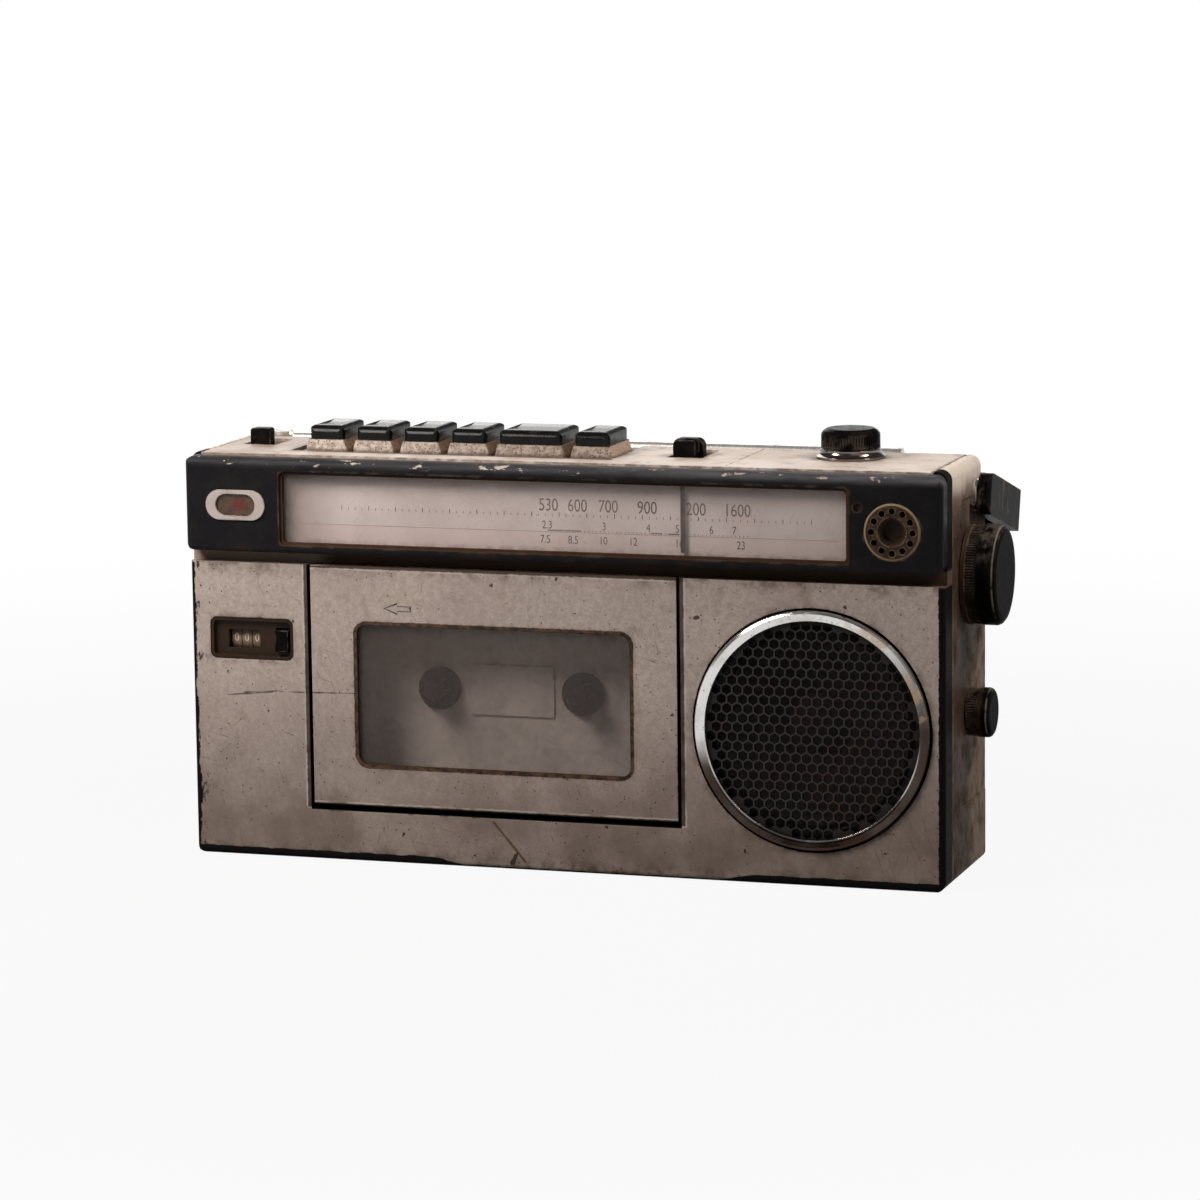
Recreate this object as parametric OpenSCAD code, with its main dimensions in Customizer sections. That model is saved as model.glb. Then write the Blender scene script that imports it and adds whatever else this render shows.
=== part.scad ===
// Radio cassette player with a bottom-hinged cassette door, piano keys on top and tuning at the side.
// Millimetres. X runs to the right, Y to the back and Z up. The part stands on Z = 0.

/* [Cabinet] */
// Width of the cabinet over its sides
body_w = 219; // [216:1:228]
// Height of the cabinet without keys and knobs
body_h = 115; // [114:1:120]
// Depth from the painted face to the back
body_d = 49; // [49:1:54]
// Thickness of the moulded walls
wall = 2.4; // [2.2:0.1:2.6]
// How far the dial band stands in front of the face
band_proud = 3; // [2.6:0.2:3.4]
// Height of the dial band
band_h = 26.8; // [26.4:0.2:27.6]
// Height of the dark channel under the band
channel_h = 3.4; // [3:0.2:3.6]

/* [Cassette deck] */
// Gap at each side of the cassette door
door_gap = 1; // [0.6:0.1:1.2]
// Gap below the cassette door
sill_gap = 1.4; // [1.4:0.1:1.8]
// Width of the door window
window_w = 80; // [74:1:84]
// Height of the door window
window_h = 39.7; // [36:0.1:41]
// Travel of the head bridge in play
bridge_travel = 6; // [5:0.5:6]

/* [Speaker] */
// Holes from the middle of the grille to its edge
grille_rings = 10; // [8:1:12]
// Web between neighbouring grille holes
grille_web = 0.5; // [0.4:0.1:0.9]

/* [Keys and knobs] */
// Width of a key cap
key_w = 10.2; // [9.6:0.2:10.6]
// Width of the wide key cap
key_wide_w = 18.2; // [17:0.2:19]
// Travel of each key
key_travel = 4; // [3:0.5:4]
// Radius of the tuning knob's end cap
tuning_r = 13.9; // [12.5:0.1:14.2]
// Radius of the tone knob
tone_r = 6.9; // [6.2:0.1:7.2]
// Radius of the volume knob at its foot
volume_r = 8.2; // [7.8:0.1:8.6]

/* [Handle] */
// Distance from the handle's pivot to the middle of its grip
handle_reach = 33; // [31:0.5:36]
// Angle by which the folded handle droops behind the cabinet
handle_droop = 15; // [10:1:17]

/* [Hidden] */
$fn = 64;

// Clearances: running fit of shafts, gap between moving pieces, overrun of cuts
run = 0.06;
gap = 0.4;
cut = 1;

// Cabinet levels
half_w = body_w / 2;
face_y = -(body_d + band_proud) / 2 + band_proud;
band_y = face_y - band_proud;
back_y = face_y + body_d;
inner_y = face_y + wall;
seam_y = face_y + 8.5;
upper_y = face_y + 3;
upper_back_y = upper_y + wall;
rear_inner_y = back_y - wall;
side_in = half_w - wall;
plate_z = body_h - wall;
band_top = body_h - 0.7;
band_bottom = band_top - band_h;
face_top = band_bottom - channel_h;
face_bottom = 2.5;
edge_r = 1.5;
corner_r = 3;
rear_r = 2.5;
rear_edge_r = 1.5;
side_recess = 0.3;
recess_y = face_y + 19.5;
recess_z0 = 20;
recess_z1 = body_h - 10;
top_inset = 3.6;
top_front_y = face_y + 0.6;
top_back_y = back_y - 7.4;
top_gap = 0.3;
ledge = 1.2;

// Compact cassette and its place behind the door
cassette_w = 100.4;
cassette_h = 63.8;
cassette_hub_up = 29;
hub_pitch = 42.5;
door_w = cassette_w + 6.9;
door_h = cassette_h + 4.6;
door_x0 = -half_w + 36.25;
door_x1 = door_x0 + door_w;
door_x = (door_x0 + door_x1) / 2;
door_z1 = face_top;
door_z0 = door_z1 - door_h;
sill_z = door_z0 - sill_gap;
hinge_y = face_y + 2.5;
hinge_z = door_z0 + 2.5;
hinge_r = 1.6;
pin_r = 1;
bay_wall = 1.5;
bay_x0 = door_x0 - door_gap;
bay_x1 = door_x1 + door_gap;
cassette_z0 = door_z0 + 3;
cassette_z1 = cassette_z0 + cassette_h;
hub_z = cassette_z0 + cassette_hub_up;
hub_xs = [door_x - hub_pitch / 2, door_x + hub_pitch / 2];
deck_y = face_y + 17;
deck_t = 2;
deck_back_y = deck_y + deck_t;
deck_z0 = max(sill_z - bay_wall, wall + gap);
deck_z1 = cassette_z1 + 20.5;
window_r = 2.8;
window_lip = 1.2;
door_t = wall;
carrier_drop = 21.8;

// Mechanism behind the deck plate
chassis_y = deck_back_y + 10;
chassis_t = 1.2;
chassis_back_y = chassis_y + chassis_t;
reel_shaft_r = 1.5;
reel_table_r = 6.15;
capstan_x = door_x - 19.5;
capstan_z = cassette_z1 - 6.3;
capstan_r = 1.25;
flywheel_r = 19;
flywheel_y = chassis_back_y + 1.3;
flywheel_t = 6;
motor_r = 12.5;
motor_x = -half_w + 18.5;
pulley_r = 4;
belt_t = 1;
belt_w = 2.4;
belt_y = flywheel_y + flywheel_t / 2;
roller_r = 5;
roller_z = capstan_z + capstan_r + roller_r + 0.3 + bridge_travel;
bridge_t = 1.2;
bridge_y = deck_y - gap - bridge_t;
bridge_z0 = cassette_z1 + 1.4;
bridge_z1 = deck_z1 - 2.5;
head_y0 = face_y + 6;
guide_pins = [door_x - 27, door_x + 27];
guide_z = bridge_z1 - 11.4;

post_inset = 3.5;
post_drop = 15;

// Battery compartment for four cells in a row
cell_space = 26.4;
battery_z0 = wall;
battery_z1 = battery_z0 + cell_space + 0.6;
battery_wall = 1;
battery_y0 = rear_inner_y - cell_space;
battery_half = side_in;
battery_top = battery_z1 + battery_wall;
motor_z = battery_top + motor_r + 1.9;
reel_wheel_r = min(hub_pitch / 2 - 15.25, hub_z - battery_top - gap);
flap_half = half_w - 9.5;
flap_z1 = battery_z1 - 0.6;
flap_r = 1.8;
flap_axis_y = back_y - flap_r;
flap_axis_z = battery_z0 + 4.2;

// Speaker, set between the door and the right side
spk_x = (bay_x1 + half_w) / 2;
spk_z = (face_top + face_bottom) / 2;
ring_r = min((half_w - bay_x1) / 2 - 3.96, (face_top - face_bottom) / 2 - 7.53);
magnet_r = ring_r / 2 + 0.37;
ring_seen_r = ring_r - 3.1;
ring_flange_r = ring_r + 1.3;
ring_hole_r = ring_r + 0.6;
grille_r = ring_seen_r + 1;
grille_t = 0.8;
grille_edge = 0.35;
grille_pitch = ring_seen_r / grille_rings;
grille_hole = (grille_pitch - grille_web) / cos(30);
spk_flange_d = 3.4;
spk_depth = 18;

// Dial band
dial_x0 = -half_w + 29.3;
dial_x1 = half_w - 26.8;
dial_z0 = band_bottom + 3.1;
dial_z1 = band_top - 4.55;
dial_lip = 0.8;
glass_t = 1.2;
glass_y = face_y - glass_t;
scale_t = 1.2;
scale_y = upper_y - scale_t;
rail_r = 0.7;
rail_y = upper_y - 1.5;
rail_z = dial_z1 + 1.3;
pointer_x = dial_x1 - 46.95;
pointer_w = 1;
ind_x = -half_w + 15.45;
ind_z = band_bottom + 13.3;
ind_w = 17.7;
ind_h = 8.5;
ind_in_w = 11.9;
ind_in_h = 6.2;
mic_x = half_w - 13.8;
mic_z = band_bottom + 11.5;
mic_r = 7.95;
mic_mouth_r = 4.05;
mic_hole_circle = 5.75;

// Tape counter on the face
counter_x0 = -half_w + 5.7;
counter_w = 25.1;
counter_h = 11.9;
counter_z0 = hub_z + 8.8;
counter_zc = counter_z0 + counter_h / 2 - 0.4;
wheel_r = 5;
wheel_w = 2.9;
wheel_pitch = 3.15;
wheels_x0 = counter_x0 + 5;
wheel_y = face_y + 3.4 + wheel_r;
reset_x0 = counter_x0 + 19.7;
reset_w = 3.9;
reset_h = 6.1;

// Keys in the top
key_pitch = key_w + 3.9;
key_step = key_pitch + (key_wide_w - key_w) / 2;
key_x1 = -half_w + 37;
key_xs = [key_x1, key_x1 + key_pitch, key_x1 + 2 * key_pitch, key_x1 + 3 * key_pitch,
    key_x1 + 3 * key_pitch + key_step, key_x1 + 3 * key_pitch + 2 * key_step];
key_flare = 2.6;
key_front = face_y + 12.6;
key_len = 18.4;
key_foot_z = plate_z - 1.6;
key_skirt_z = body_h + 3;
key_top_z = body_h + 7;
key_dish_r = 56;
key_dish = 0.35;
stem_w = 5;
stem_y0 = key_front + 7.4;
stem_len = 6;
tray_x0 = key_x1 - 9.85;
tray_x1 = key_xs[5] + 6.1;
tray_y0 = key_front - 2.3;
tray_depth = 1;
bracket_z = key_foot_z - key_travel - 4;
bracket_t = 1.2;

// Slide switches in the top
function_x = -half_w + 13.6;
function_y = face_y + 21;
function_len = 14;
band_x = tray_x1 + 19.3;
band_y0 = face_y + 17.6;
band_len = 18.4;
well_w = 9.8;
slider_len = 10.6;
slider_t = 1;
grip_w = 6;
grip_len = 3.4;
fin_w = 8.8;
fin_len = 2.8;
slider_top = body_h + 4.6;
switch_depth = 9;
switch_half = 5.6;

// Knobs
volume_x = half_w - 33.3;
volume_y = face_y + 27.7;
volume_h = 8.4;
volume_ring_r = volume_r + 1.4;
volume_ring_h = 2.6;
volume_shaft_r = 3;
side_face = half_w - side_recess;
tuning_y = face_y + 29;
tuning_z = body_h - 31.3;
tuning_len = 10;
tuning_drum = 2.9;
tone_y = face_y + 29.5;
tone_z = 45.2;
tone_len = 7;
tone_drum = 2.8;
rib_w = 0.35;
rib_h = 0.25;
pot_r = 8;
pot_h = 8;

// Handle
pivot_back = 34;
pivot_drop = 10;
pivot_y = face_y + pivot_back;
pivot_z = body_h - pivot_drop;
boss_r = 4.5;
boss_len = 1.9;
pivot_r = 2.2;
arm_t = 3.6;
arm_skin = 1.2;
arm_front = 4.5;
arm_in = side_face + boss_len + gap;
arm_out = arm_in + arm_t;
bar_w = 10;
bar_h = 11.5;
bar_bend = 6;

// Rod antenna in the rear top edge
rod_r = 2.1;
rod_y = back_y - 4;
rod_z = body_h - 1.2;
swivel_r = 3.1;
groove_y = rod_y - swivel_r - 0.3;
groove_z = body_h - 5.8;
groove_x0 = -half_w + 5;
rod_tip_x = half_w - 23;
swivel_x = groove_x0 + 6;
tube_x0 = swivel_x + 3.9;
tube_x1 = rod_tip_x - 14.5;
rod_bore_r = 1.6;

// Screw posts: x, z of each
post_r = 3;
post_end_y = back_y - 9;
posts = [[-half_w + 9.5, body_h - 25], [half_w - 6.5, body_h - 38], [-half_w + 6, battery_z1 + 5.3],
    [bay_x1 + 5.5, body_h - 39]];

// Main board, its ferrite rod, and the sockets at the left side
board_clear = 9;
board_start = 14;
board_drop = 16;
aerial_x0 = door_x - 58;
aerial_len = 94;
jack_y = face_y + 37;
jack_z0 = battery_z1 + 18;
jack_pitch = 13;
jack_edge = 6;
jack_depth = 9;

// Flat rectangle centred on the origin with a radius at each corner, from lower left against the clock
module soft_rect(w, h, radii) {
    difference() {
        square([w, h], center = true);
        for (k = [0:3]) {
            sx = (k == 1 || k == 2) ? 1 : -1;
            sy = k > 1 ? 1 : -1;
            translate([sx * w / 2, sy * h / 2]) rotate(90 * k) difference() {
                translate([-cut, -cut]) square(radii[k] + cut);
                translate([radii[k], radii[k]]) circle(radii[k]);
            }
        }
    }
}

// Box between two corners
module box(x0, x1, y0, y1, z0, z1) {
    translate([x0, y0, z0]) cube([x1 - x0, y1 - y0, z1 - z0]);
}

// Upright plate seen from the front with rounded corners
module front_plate(x0, x1, z0, z1, y0, y1, r) {
    translate([(x0 + x1) / 2, y1, (z0 + z1) / 2]) rotate([90, 0, 0])
        linear_extrude(y1 - y0) soft_rect(x1 - x0, z1 - z0, [r, r, r, r]);
}

// Flat outline drawn in Y and Z, made solid from x0 to x1
module side_plate(x0, x1) {
    translate([x0, 0, 0]) rotate([90, 0, 90]) linear_extrude(x1 - x0) children();
}

// Round bar along Y
module bar_y(x, z, r, y0, y1) {
    translate([x, y1, z]) rotate([90, 0, 0]) cylinder(h = y1 - y0, r = r);
}

// Round bar along X
module bar_x(y, z, r, x0, x1) {
    translate([x0, y, z]) rotate([0, 90, 0]) cylinder(h = x1 - x0, r = r);
}

// Upright round bar
module bar_z(x, y, r, z0, z1) {
    translate([x, y, z0]) cylinder(h = z1 - z0, r = r);
}

// Turned form whose profile gives radius and height in front of the face
module turned_front(x, z, points) {
    translate([x, face_y, z]) rotate([90, 0, 0]) rotate_extrude() polygon(points);
}

// Turned form whose profile gives radius and height to the right of x
module turned_side(x, y, z, points) {
    translate([x, y, z]) rotate([0, 90, 0]) rotate_extrude() polygon(points);
}

// Oval with straight upper and lower sides
module oval(w, h) {
    square([w - h, h], center = true);
    for (s = [-1, 1])
        translate([s * (w - h) / 2, 0]) circle(h / 2);
}

// Outside of the whole cabinet, rounded in all three views
module cabinet_form() {
    intersection() {
        front_plate(-half_w, half_w, 0, body_h, face_y, back_y, corner_r);
        translate([0, (face_y + back_y) / 2, 0]) linear_extrude(body_h)
            soft_rect(body_w, body_d, [edge_r, edge_r, rear_edge_r, rear_edge_r]);
        side_plate(-half_w, half_w) translate([(face_y + back_y) / 2, body_h / 2])
            soft_rect(body_d, body_h, [edge_r, rear_r, rear_r, edge_r]);
    }
}

// Room for the top plate and for the parts below it
module top_opening() {
    box(-half_w + top_inset, half_w - top_inset, top_front_y, top_back_y, plate_z, body_h + cut);
    box(-half_w + top_inset + ledge, half_w - top_inset - ledge, upper_back_y, top_back_y - wall,
        plate_z - 2 * wall, body_h + cut);
}

module front_cabinet() {
    color("silver") difference() {
        union() {
            difference() {
                intersection() {
                    cabinet_form();
                    box(-half_w, half_w, face_y, seam_y, 0, body_h);
                }
                box(-side_in, side_in, inner_y, seam_y + cut, wall, face_top - wall);
                box(-side_in, side_in, upper_back_y, seam_y + cut, wall, plate_z - wall);
                box(-half_w - cut, half_w + cut, face_y - cut, upper_y, face_top, body_h + cut);
                top_opening();
                box(bay_x0, bay_x1, face_y - cut, upper_back_y, sill_z, face_top);
                bar_y(spk_x, spk_z, ring_hole_r, face_y - cut, upper_back_y);
                front_plate(counter_x0, counter_x0 + counter_w, counter_z0, counter_z0 + counter_h,
                    face_y - cut, upper_back_y, 2);
            }
            // Walls of the cassette bay, up to the deck plate
            for (x = [bay_x0 - bay_wall, bay_x1])
                box(x, x + bay_wall, inner_y - cut, deck_y, sill_z - bay_wall, face_top - wall);
            box(bay_x0, bay_x1, inner_y - cut, deck_y, sill_z - bay_wall, sill_z);
            for (p = posts)
                bar_y(p[0], p[1], post_r, p[1] > face_top ? upper_y + 0.2 : inner_y - 0.2, post_end_y);
            for (x = [dial_x0 - 3.5, dial_x1 + 1.3])
                box(x, x + 2.2, rail_y - 1.2, upper_y, rail_z - 1.2, rail_z + 1);
        }
        for (x = [bay_x0 - bay_wall, bay_x1])
            bar_x(hinge_y, hinge_z, pin_r + run, x - 0.1, x + bay_wall + 0.1);
        bar_x(rail_y, rail_z, rail_r, dial_x0 - 2.5, dial_x1 + 2.5);
        for (p = posts)
            bar_y(p[0], p[1], 1.3, post_end_y - 9, post_end_y + cut);
    }
}

module rear_cabinet() {
    color("gray") difference() {
        union() {
            difference() {
                intersection() {
                    cabinet_form();
                    box(-half_w, half_w, seam_y, back_y, 0, body_h);
                }
                box(-side_in, side_in, seam_y - cut, rear_inner_y, wall, plate_z - wall);
                top_opening();
                for (s = [-1, 1])
                    translate([s * half_w, 0, 0])
                        box(-side_recess, side_recess, recess_y, back_y + cut, recess_z0, recess_z1);
            }
            // Shelf and rib of the antenna groove
            intersection() {
                cabinet_form();
                box(-half_w, half_w, groove_y - wall, back_y, groove_z - wall, plate_z);
            }
            // Battery compartment
            box(-side_in, side_in, battery_y0 - battery_wall, battery_y0, wall - 0.1, battery_z1);
            box(-side_in, side_in, battery_y0 - battery_wall, rear_inner_y + 0.1, battery_z1,
                battery_z1 + battery_wall);
            for (p = posts)
                bar_y(p[0], p[1], post_r + 2, post_end_y, rear_inner_y + 0.1);
        }
        // Groove for the antenna, open to the top, the back and the right end
        box(groove_x0, half_w + cut, groove_y, back_y + cut, groove_z, body_h + cut);
        bar_z(swivel_x, rod_y, 2 + run, groove_z - wall - cut, groove_z + cut);
        // Battery flap and its hinge holes
        box(-flap_half - gap, flap_half + gap, rear_inner_y - 0.1, back_y + cut, flap_axis_z - flap_r - gap,
            flap_z1 + gap);
        bar_x(flap_axis_y, flap_axis_z, pin_r + run, -flap_half - 2.2, flap_half + 2.2);
        box(-flap_half - gap, flap_half + gap, flap_axis_y - flap_r - gap, rear_inner_y + cut,
            flap_axis_z - flap_r - gap, flap_axis_z + flap_r + gap);
        // Screw holes with sunk heads
        for (p = posts) {
            bar_y(p[0], p[1], 1.7, post_end_y - cut, back_y + cut);
            bar_y(p[0], p[1], 3.4, post_end_y + 3, back_y + cut);
        }
        // Shaft holes and handle bosses at the sides
        bar_x(tuning_y, tuning_z, 3 + gap, side_in - cut, half_w + cut);
        bar_x(tone_y, tone_z, 3 + gap, side_in - cut, half_w + cut);
        for (s = [0, 1])
            mirror([s, 0, 0]) bar_x(pivot_y, pivot_z, boss_r, side_face, half_w + cut);
        for (s = [0, 1])
            mirror([s, 0, 0]) bar_x(pivot_y, pivot_z, pivot_r, side_in - cut, half_w);
        jack_places(3, -half_w - cut, -side_in + cut);
    }
}

// Round bars at the three sockets of the left side
module jack_places(r, x0, x1) {
    for (k = [0:2])
        bar_x(jack_y, jack_z0 + jack_pitch * k, r, x0, x1);
}

module band_bezel() {
    color("black") difference() {
        intersection() {
            front_plate(-half_w, half_w, band_bottom, band_top, band_y, upper_y, 3);
            side_plate(-half_w, half_w) translate([(band_y + upper_y) / 2, (band_bottom + band_top) / 2])
                soft_rect(upper_y - band_y, band_h, [1.2, 0.1, 0.1, 2.4]);
            translate([0, (band_y + upper_y) / 2, 0]) linear_extrude(body_h)
                soft_rect(body_w, upper_y - band_y, [2, 2, 0.1, 0.1]);
        }
        // Hollow behind the front wall
        box(-half_w + top_inset, half_w - top_inset, face_y, upper_y + cut, band_bottom + wall, band_top + cut);
        // Dial opening with a stepped edge and a seat for the window behind it
        front_plate(dial_x0, dial_x1, dial_z0, dial_z1, band_y - cut, upper_y, 1);
        front_plate(dial_x0 - dial_lip, dial_x1 + dial_lip, dial_z0 - dial_lip, dial_z1 + dial_lip,
            band_y - cut, band_y + dial_lip, 1.6);
        box(dial_x0 - 1.5, dial_x1 + 1.5, glass_y, upper_y, dial_z0 - 1.2, dial_z1 + 0.7);
        translate([ind_x, upper_y, ind_z]) rotate([90, 0, 0]) linear_extrude(upper_y - band_y + cut)
            oval(ind_w - 1.2, ind_h - 1.2);
        bar_y(mic_x, mic_z, mic_r, band_y - cut, upper_y);
        // Small round sink at the right end of the dial
        bar_y(dial_x1 + 3.4, dial_z1 - 4.3, 1.2, band_y - cut, band_y + 0.8);
    }
}

module top_plate() {
    color("ivory") difference() {
        box(-half_w + top_inset + top_gap, half_w - top_inset - top_gap, top_front_y, top_back_y - top_gap,
            plate_z, body_h);
        // Sunk tray around the keys and the opening that they move in
        box(tray_x0, tray_x1, tray_y0, top_back_y + cut, body_h - tray_depth, body_h + cut);
        box(key_xs[0] - key_w / 2 - key_flare / 2 - gap, key_xs[5] + key_w / 2 + key_flare / 2 + gap,
            key_front - gap, key_front + key_len + gap, plate_z - cut, body_h + cut);
        box(function_x - well_w / 2, function_x + well_w / 2, function_y, function_y + function_len,
            plate_z - cut, body_h + cut);
        box(band_x - well_w / 2, band_x + well_w / 2, band_y0, band_y0 + band_len, plate_z - cut, body_h + cut);
        bar_z(volume_x, volume_y, volume_shaft_r + gap, plate_z - cut, body_h + cut);
    }
}

// Steel channel under the top that guides the stems of the keys
module key_bracket() {
    x0 = key_xs[0] - key_w;
    x1 = key_xs[5] + key_w - 1;
    color("silver") difference() {
        union() {
            box(x0, x1, stem_y0 - 2.5, stem_y0 + stem_len + 2.5, bracket_z, bracket_z + bracket_t);
            for (x = [x0, x1 - bracket_t])
                box(x, x + bracket_t, stem_y0 - 2.5, stem_y0 + stem_len + 2.5, bracket_z, plate_z);
        }
        for (x = key_xs)
            box(x - stem_w / 2 - gap, x + stem_w / 2 + gap, stem_y0 - gap, stem_y0 + stem_len + gap,
                bracket_z - cut, bracket_z + bracket_t + cut);
    }
}

// Plan of a key with rounded corners, made solid up to the top of its cap
module key_plan(x, w, r) {
    translate([x, key_front + key_len / 2, key_foot_z]) linear_extrude(key_top_z - key_foot_z)
        soft_rect(w, key_len, [r, r, r, r]);
}

// Key with a flared skirt, a dished cap rounded in all three views and a guide stem
module piano_key(x, w) {
    foot = w + key_flare;
    cap_h = key_top_z - key_skirt_z;
    cap_z = key_skirt_z + cap_h / 2;
    key_y = key_front + key_len / 2;
    shoulder = 1.8;
    intersection() {
        translate([x, key_front + key_len, 0]) rotate([90, 0, 0]) linear_extrude(key_len) polygon([
            [-foot / 2, key_foot_z], [foot / 2, key_foot_z], [foot / 2, body_h - 0.4],
            [w / 2, key_skirt_z + 0.1], [-w / 2, key_skirt_z + 0.1], [-foot / 2, body_h - 0.4]]);
        key_plan(x, foot, 1.2);
    }
    difference() {
        intersection() {
            translate([x, key_front + key_len, cap_z]) rotate([90, 0, 0]) linear_extrude(key_len)
                soft_rect(w, cap_h, [0.3, 0.3, shoulder, shoulder]);
            side_plate(x - w, x + w) translate([key_y, cap_z])
                soft_rect(key_len, cap_h, [0.3, 0.3, 2.4, 2.4]);
            key_plan(x, w, 2);
        }
        bar_x(key_y, key_top_z + key_dish_r - key_dish, key_dish_r, x - w / 2 + shoulder,
            x + w / 2 - shoulder);
    }
    box(x - stem_w / 2, x + stem_w / 2, stem_y0, stem_y0 + stem_len, bracket_z - 3, key_foot_z + 0.1);
}

module key_pause() {
    color("dimgray") piano_key(key_xs[0], key_w);
}

module key_stop() {
    color("dimgray") piano_key(key_xs[1], key_w);
}

module key_forward() {
    color("dimgray") piano_key(key_xs[2], key_w);
}

module key_rewind() {
    color("dimgray") piano_key(key_xs[3], key_w);
}

module key_play() {
    color("dimgray") piano_key(key_xs[4], key_wide_w);
}

module key_record() {
    color("dimgray") piano_key(key_xs[5], key_w);
}

// Slider with an upright grip on a flat base, and a tongue into the switch below
module slider(x, y) {
    y0 = y + gap;
    z0 = plate_z + 0.2;
    box(x - well_w / 2 + gap, x + well_w / 2 - gap, y0, y0 + slider_len, z0, z0 + slider_t);
    front_plate(x - grip_w / 2, x + grip_w / 2, z0, slider_top, y0, y0 + grip_len, 0.9);
    box(x - 1.5, x + 1.5, y0 + 3, y0 + 7, plate_z - 3, z0 + 0.1);
}

module function_knob() {
    color("black") slider(function_x, function_y);
}

// Slider with a wider fin behind its grip
module band_knob() {
    fin_y = band_y0 + gap + grip_len;
    color("black") {
        slider(band_x, band_y0);
        front_plate(band_x - fin_w / 2, band_x + fin_w / 2, plate_z + 0.2, slider_top + 0.4, fin_y - 0.1,
            fin_y + fin_len, 2.2);
    }
}

// Switch body under a slider, open along the top for the tongue
module switch_body(x, y, len) {
    difference() {
        box(x - switch_half, x + switch_half, y - 1.5, y + len + 1.5, plate_z - switch_depth, plate_z);
        box(x - 1.5 - gap, x + 1.5 + gap, y + 2.5, y + len - 1, plate_z - 3.6, plate_z + cut);
        box(x - well_w / 2, x + well_w / 2, y, y + len, plate_z - 0.2, plate_z + cut);
    }
}

module slide_switches() {
    color("silver") {
        switch_body(function_x, function_y, function_len);
        switch_body(band_x, band_y0, band_len);
    }
}

// Collar under the volume knob, hollowed from its neck out to a thin edge
module volume_ring() {
    bore = volume_shaft_r + gap;
    neck_r = volume_r + 0.2;
    hollow = volume_ring_h - 0.5;
    color("silver") translate([volume_x, volume_y, body_h]) rotate_extrude() difference() {
        translate([bore, 0]) square([volume_ring_r - bore, volume_ring_h]);
        translate([neck_r + hollow, volume_ring_h]) circle(hollow);
    }
}

// Drum on the Z axis with fine ribs round its side
module ribbed_drum(r, ribs, length) {
    linear_extrude(length) {
        circle(r);
        for (k = [0:ribs - 1])
            rotate(360 * k / ribs) translate([r / 2, -rib_w / 2]) square([r / 2 + rib_h, rib_w]);
    }
}

module volume_knob() {
    foot = volume_ring_h + 0.3;
    drum_r = volume_r - 0.3;
    rim_r = volume_r - 0.1;
    color("black") translate([volume_x, volume_y, body_h]) {
        rotate_extrude() polygon([[0, foot], [volume_r, foot], [volume_r, foot + 0.5], [drum_r, foot + 0.6],
            [drum_r, volume_h - 1.9], [rim_r, volume_h - 1.8], [rim_r, volume_h - 1.5], [rim_r - 0.6, volume_h - 0.7],
            [rim_r - 1.6, volume_h - 0.1], [0, volume_h]]);
        translate([0, 0, foot]) ribbed_drum(drum_r, 64, volume_h - foot - 1.8);
        translate([0, 0, plate_z + 0.3 - body_h]) cylinder(h = body_h - plate_z + foot, r = volume_shaft_r);
    }
}

// Flange against the side, a ribbed drum and a smooth rounded cap
module tuning_knob() {
    flange = 1.5;
    cap_x = flange + tuning_drum;
    drum_r = tuning_r - 0.5;
    color("black") {
        turned_side(half_w, tuning_y, tuning_z, [[0, 0.3], [tuning_r, 0.3], [tuning_r, flange],
            [drum_r, flange + 0.2], [drum_r, cap_x], [tuning_r, cap_x + 0.1], [tuning_r, tuning_len - 1.6],
            [tuning_r - 0.4, tuning_len - 0.8], [tuning_r - 1.2, tuning_len - 0.2],
            [tuning_r - 2.4, tuning_len], [0, tuning_len]]);
        translate([half_w + flange - 0.1, tuning_y, tuning_z]) rotate([0, 90, 0])
            ribbed_drum(drum_r, 110, tuning_drum + 0.2);
        bar_x(tuning_y, tuning_z, 3, side_in - 9, half_w + 0.5);
    }
}

module tuning_capacitor() {
    color("ivory") difference() {
        box(side_in - 29, side_in - 9 - gap, tuning_y - 9, back_y - 9, tuning_z - 10, tuning_z + 10);
        bar_x(tuning_y, tuning_z, 3.5, side_in - 12, side_in);
    }
}

// Ribbed drum and a smooth rounded cap
module tone_knob() {
    cap_x = 0.3 + tone_drum;
    drum_r = tone_r - 0.5;
    color("black") {
        turned_side(side_face, tone_y, tone_z, [[0, 0.3], [drum_r, 0.3], [drum_r, cap_x], [tone_r, cap_x + 0.1],
            [tone_r, tone_len - 1.1], [tone_r - 0.3, tone_len - 0.5], [tone_r - 0.9, tone_len - 0.1],
            [tone_r - 1.6, tone_len], [0, tone_len]]);
        translate([side_face + 0.3, tone_y, tone_z]) rotate([0, 90, 0])
            ribbed_drum(drum_r, 54, tone_drum + 0.1);
        bar_x(tone_y, tone_z, 3, side_in + 0.3, side_face + 0.5);
    }
}

// Rotary controls behind the volume and tone knobs
module control_pots() {
    color("silver") {
        bar_z(volume_x, volume_y, pot_r, plate_z - pot_h, plate_z);
        bar_x(tone_y, tone_z, pot_r, side_in - pot_h, side_in);
    }
}

module dial_window() {
    color("white", 0.4)
        box(dial_x0 - 1.4, dial_x1 + 1.4, glass_y, face_y, dial_z0 - 1.1, dial_z1 + 0.6);
}

module dial_scale() {
    color("mistyrose")
        box(dial_x0 - 1.5, dial_x1 + 1.5, scale_y, upper_y, dial_z0 - 0.6, dial_z1 - 0.25);
}

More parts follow.
